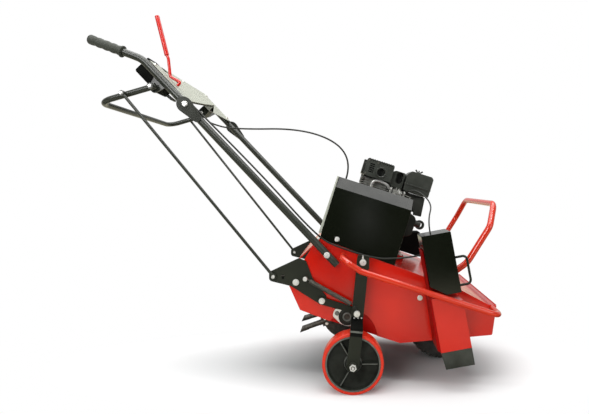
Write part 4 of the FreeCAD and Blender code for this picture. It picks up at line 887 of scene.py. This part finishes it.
def bearings():
    """The housing, ring, seal and two flange bolts of each bearing."""
    for label, side in SIDES:
        face = beside(REEL, side, PANEL_FACE)
        for part, profile, steps, finish in (
                ("housing", ((15.5, 4.4), (15.5, 7), (19, 9), (24, 8.6), (28, 6.5), (29.5, 4.2)),
                 56, CASTING),
                ("ring", ((10.5, 4.6), (10.5, 7.4), (13, 8), (15.3, 6.8), (15.3, 4.6)),
                 48, RIM_EDGE),
                ("seal", ((8.2, 4.6), (8.2, 5.4), (10.3, 5.6), (10.3, 4.6)), 48, RUBBER)):
            fitted(f"bearing_{part}_{label}", lathed(profile, face, side, steps), finish)
        tilt = math.radians(20)
        arm = Vector((36 * MM * math.cos(tilt), 0, -36 * MM * math.sin(tilt)))
        bolts("bearing_bolts", ROOT, [
            (beside(REEL + end * arm, side, PANEL_FACE + 5), (0, side, 0)) for end in (-1, 1)],
            label, RIM_EDGE)


# lift linkage ---------------------------------------------------------------------------

def linkage_bolts(label, side):
    """The zinc bolts and bosses of one side's linkage, and a dark ring of painted shade round the axle's thread.
    """
    out, back = (0, side, 0), (0, -side, 0)
    crank, leg, rod = f"crank_{label}", f"leg_{label}", f"lift_rod_{label}"
    for kind, body, aim, places in (
            ("rod_bolts", rod, out, ((BAIL_ROD, 296.2), (CRANK_ROD, 265.8))),
            ("rod_pin_ends", rod, back, ((CRANK_ROD, 251),)),
            ("link_bolt", f"lift_link_{label}", out, ((CRANK_LINK, 259.3),)),
            ("crank_spring_bolt", crank, out, ((CRANK_SPRING, 274.5),)),
            ("leg_link_bolt", leg, out, ((LEG_LINK, LEG_FACE),)),
            ("axle_nut", leg, out, ((AXLE, FOOT_FACE),))):
        bolts(kind, body, [(beside(point, side, y), aim) for point, y in places], label)
    # A thin dark ring on the nut is painted shade round the axle's thread.
    thread_shade_ring = lathed(((4.3, 0), (6.6, 0), (6.6, 0.6), (4.3, 0.6)), beside(AXLE, side, 356), side, 28)
    fitted(f"axle_thread_gap_{label}", thread_shade_ring, SPRING, body=leg)
    bosses = joined("bosses", [
        lathed(((0.01, 0), (12, 0), (12, 26.7), (6, 26.7), (6, 35.3), (0.01, 35.3)),
               beside(LEG, side, PANEL_FACE), side, 40),
        lathed(((0.01, 0), (14, 0), (14, 1.2), (6, 1.2), (6, 5.8), (0.01, 5.8)),
               beside(CRANK, side, PANEL_FACE), side, 40)])
    fitted(f"pivot_bosses_{label}", bosses, ZINC, instead_of=f"lift_pivots_{label}")
    for kind, point, y in (("leg_pivot_bolt", LEG, 288.6), ("crank_pivot_bolt", CRANK, 255.8)):
        bolts(kind, ROOT, [(beside(point, side, y), out)], label)


def leg_fittings(label, side):
    """The leg's cap plate and grease nipple, its recess and stop block in near-black painted shade, and its ledge
    in grey as a painted highlight.
    """
    body = f"leg_{label}"
    cap = slab([(12, 398, 4), (54, 398, 4), (54, 433, 6), (12, 433, 6)], side * 285.2,
               side * 288.4, over_ground)
    fitted(f"leg_cap_plate_{label}", cap, BLACK, 0.6, body=body)
    foot = beside(LEG, side, 287.5)
    nipple = joined("nipple", [turned_bar(raised(foot, 12), raised(foot, 17), 3.2, 6),
                               turned_bar(raised(foot, 17), raised(foot, 24), 2.4, 12, 1.2)])
    fitted(f"grease_nipple_{label}", nipple, ZINC, body=body)
    lean = (LEG - AXLE).normalized()
    turn = Matrix.Rotation(math.atan2(lean.x, lean.z), 4, "Y")
    sunk = 0.4

    def up_leg(rise, shift):
        """A point up the leg from the axle, shifted fore or aft, in millimetres."""
        return AXLE + lean * rise * MM + Vector((shift * MM, 0, 0))

    def plate(rise, tall, wide, proud, shift=0, face=LEG_FACE - sunk):
        """A block on the leg's outer face, centred up from the axle."""
        return cube(wide, proud + sunk, tall,
                    beside(up_leg(rise, shift), side, face + (proud + sunk) / 2), turn)

    # The recess sheet, the shelf and the bands on the leg's face are near-black painted shade.
    shelf = prism(*([beside(up_leg(rise, way), side, y)
                     for rise, y in ((126, LEG_FACE), (116, FOOT_FACE), (120.4, FOOT_FACE),
                                     (134, LEG_FACE))] for way in (-19.4, 19.4)))
    bent = FOOT_FACE - sunk
    recess = joined("recess", [plate(130, 17, 38.8, 0.5), shelf,
                               plate(116.2, 8.4, 38.8, 0.6, face=bent),
                               plate(101, 12, 39.4, 0.6, face=bent)])
    fitted(f"leg_recess_{label}", recess, PAINTED_SHADE_BLACK, body=body)
    # The stop block takes the same near-black painted shade.
    stop = joined("stop", [plate(129, 15, 9, 14, -7), plate(129, 15, 5, 9, 6),
                           plate(138, 3.5, 36, 3)])
    fitted(f"leg_stop_block_{label}", stop, PAINTED_SHADE_BLACK, 0.8, body=body)
    # The ledge is grey on the black-painted leg as a painted highlight along its lit edge.
    fitted(f"leg_ledge_{label}", plate(110, 6.6, 40.4, 9, face=333.4), RIM_EDGE, 0.8, body=body,
           slot="black_paint")
    bolts("leg_keeper_screws", body, [
        (beside(up_leg(138, shift), side, 287.8), (0, side, 0)) for shift in (-10, 3, 14)], label)
    anchor = lathed(((0.01, 0), (7, 0), (7, 5), (5, 6.5), (0.01, 6.5)),
                    beside(LEG_SPRING, side, 284.8), side, 24)
    fitted(f"spring_anchor_{label}", anchor, CASTING, 0.4, body=body)


def crank_fittings(label, side):
    """A near-black plate of painted shade for the slot in the crank's far corner, and the catch across it."""
    # The slot is a thin plate of painted-shade black on the crank's face, not an opening.
    for part, corners, face, edge, finish in (
            ("slot", [(-48, 11, 3), (-48, 26, 3), (-40, 26, 3), (-40, 11, 3)], 255.9, 0, PAINTED_SHADE_BLACK),
            ("catch", [(-51, 20, 1), (-51, 23, 1), (-37, 25, 1), (-37, 22, 1)], 258, 0.4, TINE)):
        form = slab(corners, side * 255.4, side * face, from_point(CRANK))
        fitted(f"crank_{part}_{label}", form, finish, edge, body=f"crank_{label}",
               slot="black_paint")


def return_spring(label, side):
    """A wound spring from crank to leg with an open hook round each pin."""
    start = beside(CRANK_SPRING, side, 268.2)
    stop = beside(LEG_SPRING, side, 268.2)
    run = (stop - start).normalized()
    lift = Vector((-run.z, 0, run.x))
    hook, wire = 17, 1.5
    length = (stop - start).length - 2 * hook * MM
    coil = grown(f"spring_{label}", COIL, bmesh.new(), turns=round(length / (2.1 * wire * MM)),
                 coil_radius=6.8 * MM, wire_radius=wire * MM, length=length, finish=SPRING)
    turn = run.to_track_quat("Z", "Y").to_matrix().to_4x4()
    forms = [moved(coil, Matrix.Translation(start + run * hook * MM) @ turn)]
    for end, way in ((start, run), (stop, -run)):
        forms.append(piped("hook", [
            end + (way * along + lift * up) * MM for along, up in (
                (hook + 2, 5), (hook - 1, 3), (10, 0), (6, 6.2), (-4, 6.8), (-7.5, 0),
                (-3, -6.6), (4, -6))], wire))
    spring = fitted(f"spring_coil_{label}", joined("spring", forms), SPRING, smooth=60,
                    instead_of=f"lift_spring_{label}", body=f"lift_spring_{label}")
    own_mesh(spring)


# handles --------------------------------------------------------------------------------

GRIP_SWELLS = 48


def grip(label, side):
    """A moulded grip with finger swells, a flange and a domed end."""
    end = Vector((-173 * MM, 0, 66 * MM))
    run = end.normalized()
    start = on_tube(BEND) + end - run * 0.116
    profile = [(12.8, 0), (19.5, 0.2), (20, 1.5), (19.5, 4.5), (16.6, 6)]
    for step in range(GRIP_SWELLS):
        along = step * 100 / (GRIP_SWELLS - 1)
        profile.append((14.1 + 2.4 * abs(math.cos(math.pi * along / 25)) ** 0.8, 8 + along))
    profile += [(16.2, 112), (16.4, 116), (14.5, 120), (8, 122), (0.01, 122.2), (0.01, 118.5),
                (12.8, 118.5)]
    turn = run.to_track_quat("Y", "Z").to_matrix().to_4x4()
    form = moved(lathed(profile, Vector(), 1, 48),
                 Matrix.Translation(across(start, side * TUBE_Y)) @ turn)
    fitted(f"finger_grip_{label}", form, RUBBER, smooth=50, instead_of=f"grip_{label}")


def hardware():
    """Zinc bolts that stay on the frame: four pairs and one on the cover."""
    splice_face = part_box("splice_plates")[1].y
    for kind, place, out, node in (
            ("handle_bolt_heads", on_tube(0.048), 0.2753, "handle_bolts"),
            ("splice_bolts", on_tube(SPLICE, 0.004), splice_face, None),
            ("bail_pivot_bolts", BAIL, 0.2853, None),
            ("panel_bolts", over_ground(0.227, 0.294, 0), PANEL_FACE * MM, None)):
        bolts(kind, ROOT, [(across(place, side * out), (0, side, 0)) for _, side in SIDES],
              instead_of=node)
    bolts("cover_bolt", ROOT, [(over_ground(-0.054, 0.493, -PANEL_FACE * MM), OUT_RIGHT)])


# engine ---------------------------------------------------------------------------------

def muffler():
    """A slotted heat shield over a finned can, with its outlet."""
    shell = slab([(-91, 481, 5), (-91, 547.5, 9), (15, 547.5, 9), (15, 481, 5)], -109, 18)
    slots = in_row("side_slots", box(19, 4.4, -114, -80, -67, 499), 5, deck_step(0, 7.3))
    vents = in_row("top_vents", box(4.4, 14, -112, -90, -76, 545), 10, deck_step(9, 0))
    rear_vents = in_row("rear_vents", box(4.2, 12, -60, 2, -76, 545), 10, deck_step(9, 0))
    pores = [in_row("pores", turned_bar(deck_spot(column, 487, -112), deck_spot(column, 487, -105),
                                        1.3, 8), 8, deck_step(0, 6.4)) for column in (-4, 3)]
    outlet = deck_spot(-28, 507, -109)
    bore = turned_bar(outlet + OUT_RIGHT * 6 * MM, outlet - OUT_RIGHT * 30 * MM, 15, 40)
    form = carved("muffler", shell, [slots, vents, rear_vents, bore] + pores)
    fins = in_row("fins", box(12, 2.6, -100, 8, -95, 486), 9, deck_step(0, 6.3))
    collar = lathed(((15, -20), (20.5, -20), (20.5, 1.6), (19.5, 2.6), (16.4, 2.6), (15, 1.6)),
                    outlet, -1, 44)
    fitted("muffler_shield", joined("muffler", [form, fins, collar]), COWL, 0.5, steps=1,
           smooth=30, instead_of="muffler")
    bolts("muffler_bolts", ROOT, [(deck_spot(along, rise, -109), OUT_RIGHT) for along, rise in (
        (-84, 538), (-84, 488), (-48, 538))], finish=SPRING)


def cylinder():
    """A finned barrel with its head, and the header pipe to the muffler."""
    core = box(86, 70, -68, 10, -34, 440)
    fins = in_row("cylinder_fins", box(111, 2.4, -79, 19, -36, 404), 10, deck_step(0, 7.8),
                  ALLOY)
    head = slab([(-92, 470), (-92, 477, 3), (19, 477, 3), (19, 470)], -79, 19)
    fitted("finned_cylinder", joined("cylinder", [core, fins, head]), ALLOY, 0.4, steps=1,
           instead_of="engine_cylinder")
    pipe = piped("header", [over_ground(along * MM, rise * MM, y * MM) for along, rise, y in (
        (66, 640, -84), (67, 668, -88), (74, 692, -92), (92, 694, -94), (112, 688, -94),
        (132, 676, -90), (136, 664, -82))], 5.5)
    fitted("header_pipe", pipe, ZINC, smooth=60)


COVER_BOLTS = 8


def crankcase():
    """The crankcase casting with its side cover, drive pulley and oil filler."""
    softened("engine_block", 2.5)
    face = on_deck(0.026, 0.322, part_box("engine_block")[0].y)
    cover = lathed(((0.01, 0), (86, 0), (86, 4), (82, 7), (40, 9), (34, 14), (16, 15), (0.01, 15)),
                   face, -1, 64)
    fitted("crankcase_cover", cover, ALLOY, 0.5)
    shaft = lathed(((0.01, 14), (10, 14), (10, 44), (0.01, 44)), face, -1, 28)
    pulley = lathed(((10, 22), (38, 22), (40, 24), (33, 31), (40, 38), (38, 40), (10, 40)),
                    face, -1, 56)
    fitted("drive_pulley", joined("pulley", [shaft, pulley]), ALLOY)
    turns = [math.tau * number / COVER_BOLTS + 0.3 for number in range(COVER_BOLTS)]
    bolts("crankcase_bolts", ROOT, [
        (face + Vector((80 * math.cos(turn), -4.5, 80 * math.sin(turn))) * MM, OUT_RIGHT)
        for turn in turns])
    filler = deck_spot(174, 362, -66)
    knob = joined("knob", [
        turned_bar(filler - DECK_FORE * 0.03, filler + DECK_FORE * 0.002, 13, 28),
        lathed(((9, -8), (16, -8), (18, -5), (18, 5), (16, 8), (11, 8), (9, 4)), filler, -1, 40)])
    fitted("oil_filler_cap", knob, COWL, 1.2)


def intake():
    """The elbow and its duct, with the shroud beside them."""
    elbow = slab([(14, 482, 6), (14, 532, 16), (64, 532, 6), (64, 470, 4), (24, 470, 4)], -92, 0)
    mouth = [turned_bar(deck_spot(45, rise, -100), deck_spot(45, rise, -50), 13, 28)
             for rise in (500, 509, 518)]
    duct = slab([(31, 401, 6), (31, 452, 8), (66, 467), (157, 467), (149, 401, 10)], -73, 0)
    fitted("intake_elbow", joined("intake", [carved("elbow", elbow, mouth), duct]), COWL, 1.2,
           instead_of="intake")
    shroud = slab([(117.6, 452.6), (161, 466), (168, 393, 3), (137, 391, 3)], -81, -75)
    fitted("side_shroud", shroud, COWL, 1)


def carburettor():
    """The carburettor's bowl, body, flanges and linkage, with the screws round it."""
    bowl = deck_spot(52, 438, -88)

    def bar(start, stop, radius, steps, tip=None):
        """A bar between two (fore, up, out) places from the bowl's rim, in millimetres."""
        ends = [bowl + (DECK_FORE * fore + DECK_UP * up + OUT_RIGHT * out) * MM
                for fore, up, out in (start, stop)]
        return turned_bar(*ends, radius, steps, tip)

    parts = [
        bar((0, -20, 0), (0, 2, 0), 15, 28, 16),
        box(36, 22, -104, -72, 52, 452),
        box(8, 34, -108, -74, 26, 450),
        box(7, 32, -108, -74, 78, 450),
        bar((6, 22, 0), (6, 30, 0), 7, 20),
        bar((0, 12, 12), (0, 12, 24), 4, 16),
        bar((-10, 20, 18), (55, 12, 20), 1.3, 10),
        bar((50, 12, 20), (52, -32, 20), 1.3, 10),
        box(3, 20, -111, -108, 44, 460),
        box(14, 3, -112, -109, 92, 444),
    ]
    fitted("carburettor", joined("carburettor", parts), ALLOY, 0.7)
    screws = ((26, 462, -108), (26, 438, -108), (78, 461, -108), (60, 456, -104),
              (44, 446, -104), (112, 440, -75), (138, 416, -75))
    bolts("carburettor_screws", ROOT, [(deck_spot(*screw), OUT_RIGHT) for screw in screws])


def air_cleaner():
    """A clipped lid over its base, held by a wing nut."""
    base = slab([(70, 469.5, 4), (69, 493, 1), (167, 493, 1), (167.2, 468.5, 4)], -109, -8)
    lip = slab([(67, 493, 1), (67, 498, 1), (168, 498, 1), (168, 493, 1)], -111.8, -4.5)
    lid = slab([(69, 498), (68.5, 531, 10), (82, 546.8, 10), (160, 546.8, 10), (167, 538, 8),
                (167, 498)], -111, -6)
    ribs = in_row("lid_ribs", slab([(84, 544), (84, 547.6), (86.5, 547.6), (86.5, 544)],
                                   -96, -20), 3, deck_step(9, 0))
    fitted("air_cleaner_lid", joined("cleaner", [base, lip, lid, ribs]), COWL, 2.2, steps=3,
           smooth=40, instead_of="air_cleaner")
    top = deck_spot(113, 546.5, -58)
    wings = [turned_bar(top - DECK_UP * 0.001, top + DECK_UP * 0.007, 7, 20, 5),
             turned_bar(top, top + DECK_UP * 0.013, 2.6, 14)]
    for way in (-1, 1):
        wings.append(turned_bar(top + DECK_UP * 0.004 + DECK_FORE * way * 0.004,
                                top + DECK_UP * 0.013 + DECK_FORE * way * 0.014, 2.6, 12, 3.2))
    fitted("wing_nut", joined("wings", wings), COWL, 0.5, smooth=60)


def fan_housing():
    """The blower drum, its recoil starter with slots, and the pull handle."""
    low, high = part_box("fan_housing")
    centre = across((low + high) / 2, 0)
    start = low.y / MM
    drum = lathed(((0.01, 0), (100, 0), (104, 4), (104, 62), (99, 70), (80, 72), (78, 73),
                   (78, 90), (73, 96), (24, 96), (20, 92), (0.01, 92)),
                  across(centre, low.y), 1, 96)
    slot = slab([(-3.5, 34), (3.5, 34), (4.5, 66), (-4.5, 66)], start + 84, start + 104,
                from_point(centre))
    hole = slab([(-7, 84), (7, 84), (8, 92), (-8, 92)], start + 60, start + 80,
                from_point(centre))
    form = carved("fan", drum, [round_axle("recoil_vents", slot, 14, centre, COWL, first=0.1),
                                round_axle("drum_vents", hole, 18, centre, COWL)])
    fitted("blower_housing", form, COWL, 0.8, smooth=30, instead_of="fan_housing")
    bolts("starter_bolts", ROOT, [
        (centre + Vector((91 * math.cos(turn), start + 71, 91 * math.sin(turn))) * MM, -OUT_RIGHT)
        for turn in (0.6, 2.2, 3.8, 5.3)])
    pull = centre + Vector((70, start + 80, 50)) * MM
    handle = turned_bar(pull + Vector((-22, 0, 16)) * MM, pull + Vector((22, 0, -4)) * MM, 7, 20)
    fitted("starter_pull", handle, RUBBER, 2, smooth=60)


def fuel_tank():
    """A pressed tank with its seam and cap."""
    base = 441.5
    shell = slab([(-94, base, 16), (-94, 534, 22), (109, 534, 22), (109, base, 16)], 25, 149)
    seam = slab([(-95, 484, 1), (-95, 487, 1), (110, 487, 1), (110, 484, 1)], 24, 150)
    fitted("fuel_tank_shell", joined("tank", [shell, seam]), COWL, 6, steps=3, smooth=50,
           instead_of="fuel_tank")
    top = deck_spot(30, 533.5, 87)
    cap = turned_bar(top - DECK_UP * 0.004, top + DECK_UP * 0.0005, 24, 16)
    fitted("fuel_cap", cap, RUBBER, 1.5, smooth=50)


# controls -------------------------------------------------------------------------------

TRAY_FLAT = 15.8
HOOD_EDGE = -33


def tray_lift(along, y):
    """The tray's top over the tubes' middle line: flat, with a hood on its right half."""
    if y > HOOD_EDGE:
        return TRAY_FLAT
    share = max(0.0, (258 + y) / 225) ** 1.35
    fall = min(1.0, max(0.0, (916 - along) / 92))
    return max(TRAY_FLAT, 12.8 + 32.2 * min(share, fall))


def tray_sheet(name, drop, thickness, margin, finish, instead_of=None):
    """One skin of the tray, dropped below its top by a distance."""
    stations = [756 + margin, 768, 782, 796, 810, *(824 + 9.2 * step for step in range(11)),
                934 - margin]
    lines = [margin - 260, *(-258 + 12.5 * step for step in range(18)), -36,
             -33.5 + drop * 0.2, -30 - drop, 20, 80, 140, 200, 260 - margin]
    form = bmesh.new()
    rows = []
    for along in stations:
        heights = [tray_lift(along, min(y, HOOD_EDGE - 0.01) if y < -31.5 else y) - drop
                   for y in lines]
        rows.append([form.verts.new(on_tube(along * MM, height * MM, y * MM))
                     for height, y in zip(heights, lines)])
    for first, second in zip(rows, rows[1:]):
        for index in range(len(lines) - 1):
            form.faces.new((first[index], first[index + 1], second[index + 1], second[index]))
    bmesh.ops.recalc_face_normals(form, faces=form.faces)
    if form.faces[0].normal.dot(TUBE_UP) < 0:
        bmesh.ops.reverse_faces(form, faces=form.faces)
    draft = drafted(name, form)
    thick = draft.modifiers.new("thickness", "SOLIDIFY")
    thick.thickness = thickness * MM
    thick.offset = -1
    settle(name, baked(draft), finish, smooth=32, instead_of=instead_of)


LIP_STEP = 24


def control_tray():
    """A pale pressed tray with a hood open at the front, its black lining of painted shade, lip and controls."""
    tray_sheet("tray_top", 0, 2.0, 0, TRAY, "control_tray")
    # The black lining under the tray is painted shade on its shadowed underside.
    tray_sheet("tray_lining", 2.1, 0.9, 0.6, BLACK)
    bolts("tray_bolts", ROOT, [(on_tube(along * MM, TRAY_FLAT * MM, y * MM), TUBE_UP)
                               for along, y in ((776, 248), (914, 248), (918, -248), (914, -20),
                                                (776, -14))])
    lip = []
    for start in range(-252, -252 + 9 * LIP_STEP, LIP_STEP):
        stop = start + LIP_STEP
        lip.append(prism(*([
            on_tube(along, (tray_lift(770, min(y, HOOD_EDGE - 0.2)) - drop) * MM, y * MM)
            for y, drop in ((start, 9), (stop, 9), (stop, 2), (start, 2))]
            for along in (0.7564, 0.7579))))
    lip.append(slab([(-928, 11, 1), (-928, 17.6, 1), (-846, 24.5, 1), (-846, 18, 1)], -183, -176,
                    down_tube))
    fitted("tray_lip", joined("lip", lip), BLACK)
    shelf = slab([(-842, -36, 2), (-842, -29, 2), (-800, -24, 2), (-800, -31, 2)], -232, -196,
                 down_tube)
    fitted("tray_shelf", shelf, BLACK, 0.8)
    bolts("clip_nut", ROOT, [(on_tube(0.775, -0.012, -0.020), OUT_RIGHT)])
    softened("control_box", 3)
    softened("cable_clip", 1.2)
    softened("control_lever", 0.6)


# deck -----------------------------------------------------------------------------------

def deck_trim():
    """The side case's fold and a shroud in painted shade, the blank labels, the cover's back plate as a painted
    highlight, the rail bolts.
    """
    low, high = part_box("side_case")
    # The fold is coloured darker red as painted shade.
    fold = joined("fold", [
        slab([(-105.5, -4), (-110, -170), (-100.2, -178), (-100.2, -4)], high.y / MM, low.y / MM,
             on_case),
        slab([(-99.5, 4), (-99.5, 150), (-97.2, 150), (-97.2, 4)], high.y / MM, -322, on_case)])
    fitted("case_rear_fold", fold, PAINTED_SHADE_FOLD_RED, 0.6)
    for name, corners, near, far, finish in (
            ("cover_label", [(-169.2, 262), (-169.2, 430), (-168.2, 430), (-168.2, 262)],
             -208, -154, BLANK),
            # The pale back plate is a painted highlight on the cover's strongly lit rear wall.
            ("cover_back_plate", [(-178, 242), (-169, 242), (-169, 445), (-174, 445)],
             -246, -160, TRAY),
            ("shield_label", [(-167.4, 224.35), (-183.1, 197.35), (-183.7, 197.7), (-168, 224.7)],
             -246, -60, BLANK)):
        fitted(name, slab(corners, near, far), finish)
    # The shroud takes the near-black painted-shade finish.
    shroud = slab([(140, 226), (140, 303, 4), (215, 327, 6), (246, 250, 3), (246, 226)], 100, 160)
    fitted("engine_mount_shroud", shroud, PAINTED_SHADE_BLACK, 1.5, slot="engine_black")
    bolts("rail_bolts", ROOT, [(deck_spot(along, 231, y), DECK_UP)
                               for along in (-52, 132) for y in (-70, 70)])


# cables ---------------------------------------------------------------------------------

def cable(name, node, points, diameter):
    """A sheathed control cable through its route's points."""
    curve = round_stock(name, points, diameter / 2, 5, 16)
    piece = added(name, curve)
    curve.materials.append(SHEATH)
    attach(piece, ROOT)
    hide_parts(node)
    draft = added(name + "_line", curve.copy())
    draft.data.bevel_depth = 0
    line = [spot.co.copy() for spot in baked(draft).vertices]


def cables():
    """The clutch, speed and throttle cables along their routes."""
    y = -0.200
    foot = 0.4453
    leaves = on_tube(CLIP + 0.0017, -0.020)
    cable("clutch_cable_run", "clutch_cable", [
        leaves, on_tube(CLIP - 0.014, -0.020), leaves + Vector((0.0386, -0.050, -0.0299)),
        leaves + Vector((0.1298, -0.080, -0.0571)), over_ground(-0.150, 0.876, y),
        on_deck(-0.144, foot + 0.090, y), on_deck(-0.144, foot, y)], 0.006)
    lift = 0.0158
    y = -0.2533
    cable("speed_cable_run", "speed_cable", [
        on_tube(SPLICE, lift, -TUBE_Y), on_tube((SPLICE + 0.110) / 2, lift + 0.010, -TUBE_Y),
        on_tube(0.110, lift, -TUBE_Y), over_ground(-0.044, 0.465, y),
        over_ground(0.075, 0.427, y), over_ground(0.150, 0.428, y),
        on_case(-0.126, 0.125, y), on_case(-0.0963, 0.125, y)], 0.006)
    start = on_deck(0.076, 0.462, -0.0843)
    cable("throttle_cable_run", "throttle_cable", [
        start, start + Vector((0, -0.034, 0)), over_ground(0.231, 0.662, -0.135),
        over_ground(0.281, 0.613, -0.190), on_case(-0.055, 0.2383, -0.268),
        on_case(-0.055, 0.1983, -0.268)], 0.005)


for part in ("side_panel_right", "side_panel_left", "bearing_plates", "deck_plate", "hood_plate",
             "nose_plate", "rear_shield", "side_case", "belt_cover", "mount_rails", "case_guard",
             "rubber_flap", "crank_right", "crank_left", "lift_link_right", "lift_link_left",
             "leg_right", "leg_left", "splice_plates", "bail_brackets", "front_fork",
             "reel_bearings"):
    softened(part)
for label, side in SIDES:
    rear_wheel(label, side)
    linkage_bolts(label, side)
    leg_fittings(label, side)
    crank_fittings(label, side)
    return_spring(label, side)
    grip(label, side)
front_wheel()
tine_reel()
bearings()
hardware()
muffler()
cylinder()
crankcase()
intake()
carburettor()
air_cleaner()
fan_housing()
fuel_tank()
control_tray()
deck_trim()
cables()


# studio ---------------------------------------------------------------------------------

WHITE = (1, 1, 1, 1)


def white_world():
    """White where the camera looks past the floor; a soft sky for the machine to mirror."""
    world = bpy.data.worlds.new("white studio")
    bpy.context.scene.world = world
    world.use_nodes = True
    tree = world.node_tree
    tree.nodes.clear()
    rays = put(tree, "ShaderNodeLightPath", {}).outputs
    place = put(tree, "ShaderNodeTexCoord", {}).outputs["Generated"]
    split = put(tree, "ShaderNodeSeparateXYZ", {"Vector": place}).outputs
    sheen = sums(tree, "MULTIPLY", spread(tree, split["Y"], -0.1, 0.25, 0, 0.6),
                 rays["Is Glossy Ray"])
    level = sums(tree, "MAXIMUM", spread(tree, split["Z"], -0.05, 0.85, 0.04, 0.5), sheen)
    soft = put(tree, "ShaderNodeBackground", {"Color": WHITE, "Strength": level})
    white = put(tree, "ShaderNodeBackground", {"Color": WHITE, "Strength": 1})
    clear = sums(tree, "MAXIMUM", rays["Is Camera Ray"], rays["Is Transmission Ray"])
    mix = put(tree, "ShaderNodeMixShader", {"Fac": clear, 1: soft.outputs[0],
                                            2: white.outputs[0]})
    put(tree, "ShaderNodeOutputWorld", {"Surface": mix.outputs[0]})


def pale_floor():
    """A floor with a painted shadow, greyer under the machine, that fades to white for the camera alone.

    For glossy rays the floor glows instead, a painted reflection of warm bands on both sides of the machine, the
    near one dimmed far out and aft by a painted dark reflection.
    """
    ground = bmesh.new()
    bmesh.ops.create_grid(ground, x_segments=1, y_segments=1, size=30)
    floor = added("floor", as_mesh("floor", ground))
    finish, tree, shader = new_finish("pale floor")
    place = tree.nodes["Texture Coordinate"].outputs["Object"]
    # The floor's colour is darkened in an ellipse round the machine as a painted shadow.
    painted_shadow_patch = put(tree, "ShaderNodeMapping", {
        "Vector": place, "Location": (0.16, -0.08, 0), "Scale": (0.78, 0.26, 1)},
        vector_type="TEXTURE")
    away = put(tree, "ShaderNodeVectorMath", {0: painted_shadow_patch.outputs["Vector"]},
               operation="LENGTH").outputs["Value"]
    wired(tree, shader, {
        "Base Color": blended(tree, spread(tree, away, 0.1, 1.1, 0, 1), (0.333, 0.348, 0.348),
                              (0.9, 0.9, 0.9)),
        "Roughness": 0.9, "Specular IOR Level": 0})
    rays = put(tree, "ShaderNodeLightPath", {}).outputs
    fade = sums(tree, "MULTIPLY",
                spread(tree, away, 0.72, 1.45, 0, 1, interpolation_type="SMOOTHSTEP"),
                rays["Is Camera Ray"])
    glow = put(tree, "ShaderNodeEmission", {"Color": WHITE})
    seen = put(tree, "ShaderNodeMixShader", {"Fac": fade, 1: shader.outputs[0],
                                             2: glow.outputs[0]})
    split = put(tree, "ShaderNodeSeparateXYZ", {"Vector": place}).outputs
    # Glossy rays see the floor glow in warm bands: a painted reflection, with a painted dark patch ahead.
    ahead = sums(tree, "MULTIPLY", spread(tree, split["Y"], -0.9, -0.5, 0.95, 0.13),
                 spread(tree, split["Y"], -2.1, -1.7, 0.05, 1))
    painted_dark_reflection = sums(tree, "MULTIPLY", spread(tree, split["Y"], -1.7, -1.4, 1, 0),
                 spread(tree, split["X"], 0.18, 0.30, 0.9, 0))
    ahead = sums(tree, "MULTIPLY", ahead, spread(tree, painted_dark_reflection, 0, 1, 1, 0))
    bands = sums(tree, "ADD", ahead, spread(tree, split["Y"], 0.2, 1.0, 0, 0.82))
    dim = put(tree, "ShaderNodeEmission", {"Color": (1, 0.95, 0.72, 1), "Strength": bands})
    mirrored = put(tree, "ShaderNodeMixShader", {
        "Fac": rays["Is Glossy Ray"], 1: seen.outputs[0], 2: dim.outputs[0]})
    wired(tree, tree.nodes["Material Output"], {"Surface": mirrored.outputs[0]})
    floor.data.materials.append(finish)


def lamps():
    """Five area lamps: overhead, in front, a fill, and two narrow strips for highlights."""
    for name, place, aim, size, power in (
            ("overhead softbox", (0.2, 0.0, 2.6), (0.2, 0, 0.3), (2.9, 2.1), 62),
            ("front key", (-1.7, -3.4, 2.2), (0.1, 0, 0.5), (1.6, 1.6), 66),
            ("right fill", (2.4, -2.6, 1.4), (0.2, 0, 0.5), (1.6, 1.4), 16),
            ("window strip", (0.34, -3.6, 0.34), (0.24, 0, 0.5), (0.26, 0.6), 0.3),
            ("top strip", (-0.2, -1.2, 2.7), (-0.1, -0.2, 0.6), (2.6, 0.16), 22)):
        lamp = bpy.data.lights.new(name, "AREA")
        lamp.shape = "RECTANGLE"
        lamp.size, lamp.size_y = size
        lamp.energy = power
        holder = added(name, lamp)
        holder.location = place
        holder.rotation_euler = (Vector(aim) - Vector(place)).to_track_quat("-Z", "Y").to_euler()


def camera():
    """A level camera square to the machine's right side, shifted off the rear axle."""
    lens = bpy.data.cameras.new("camera")
    lens.sensor_width = 36
    lens.lens = 25.9
    lens.shift_x = -0.0993
    lens.shift_y = -0.0374
    eye = added("camera", lens)
    eye.location = (AXLE.x, -1.688, 0.677)
    eye.rotation_euler = (math.radians(90), 0, 0)
    bpy.context.scene.camera = eye


def studio():
    """The world, the floor, the lamps and the camera."""
    white_world()
    pale_floor()
    lamps()
    camera()
    bpy.context.scene.view_settings.view_transform = "Standard"


studio()
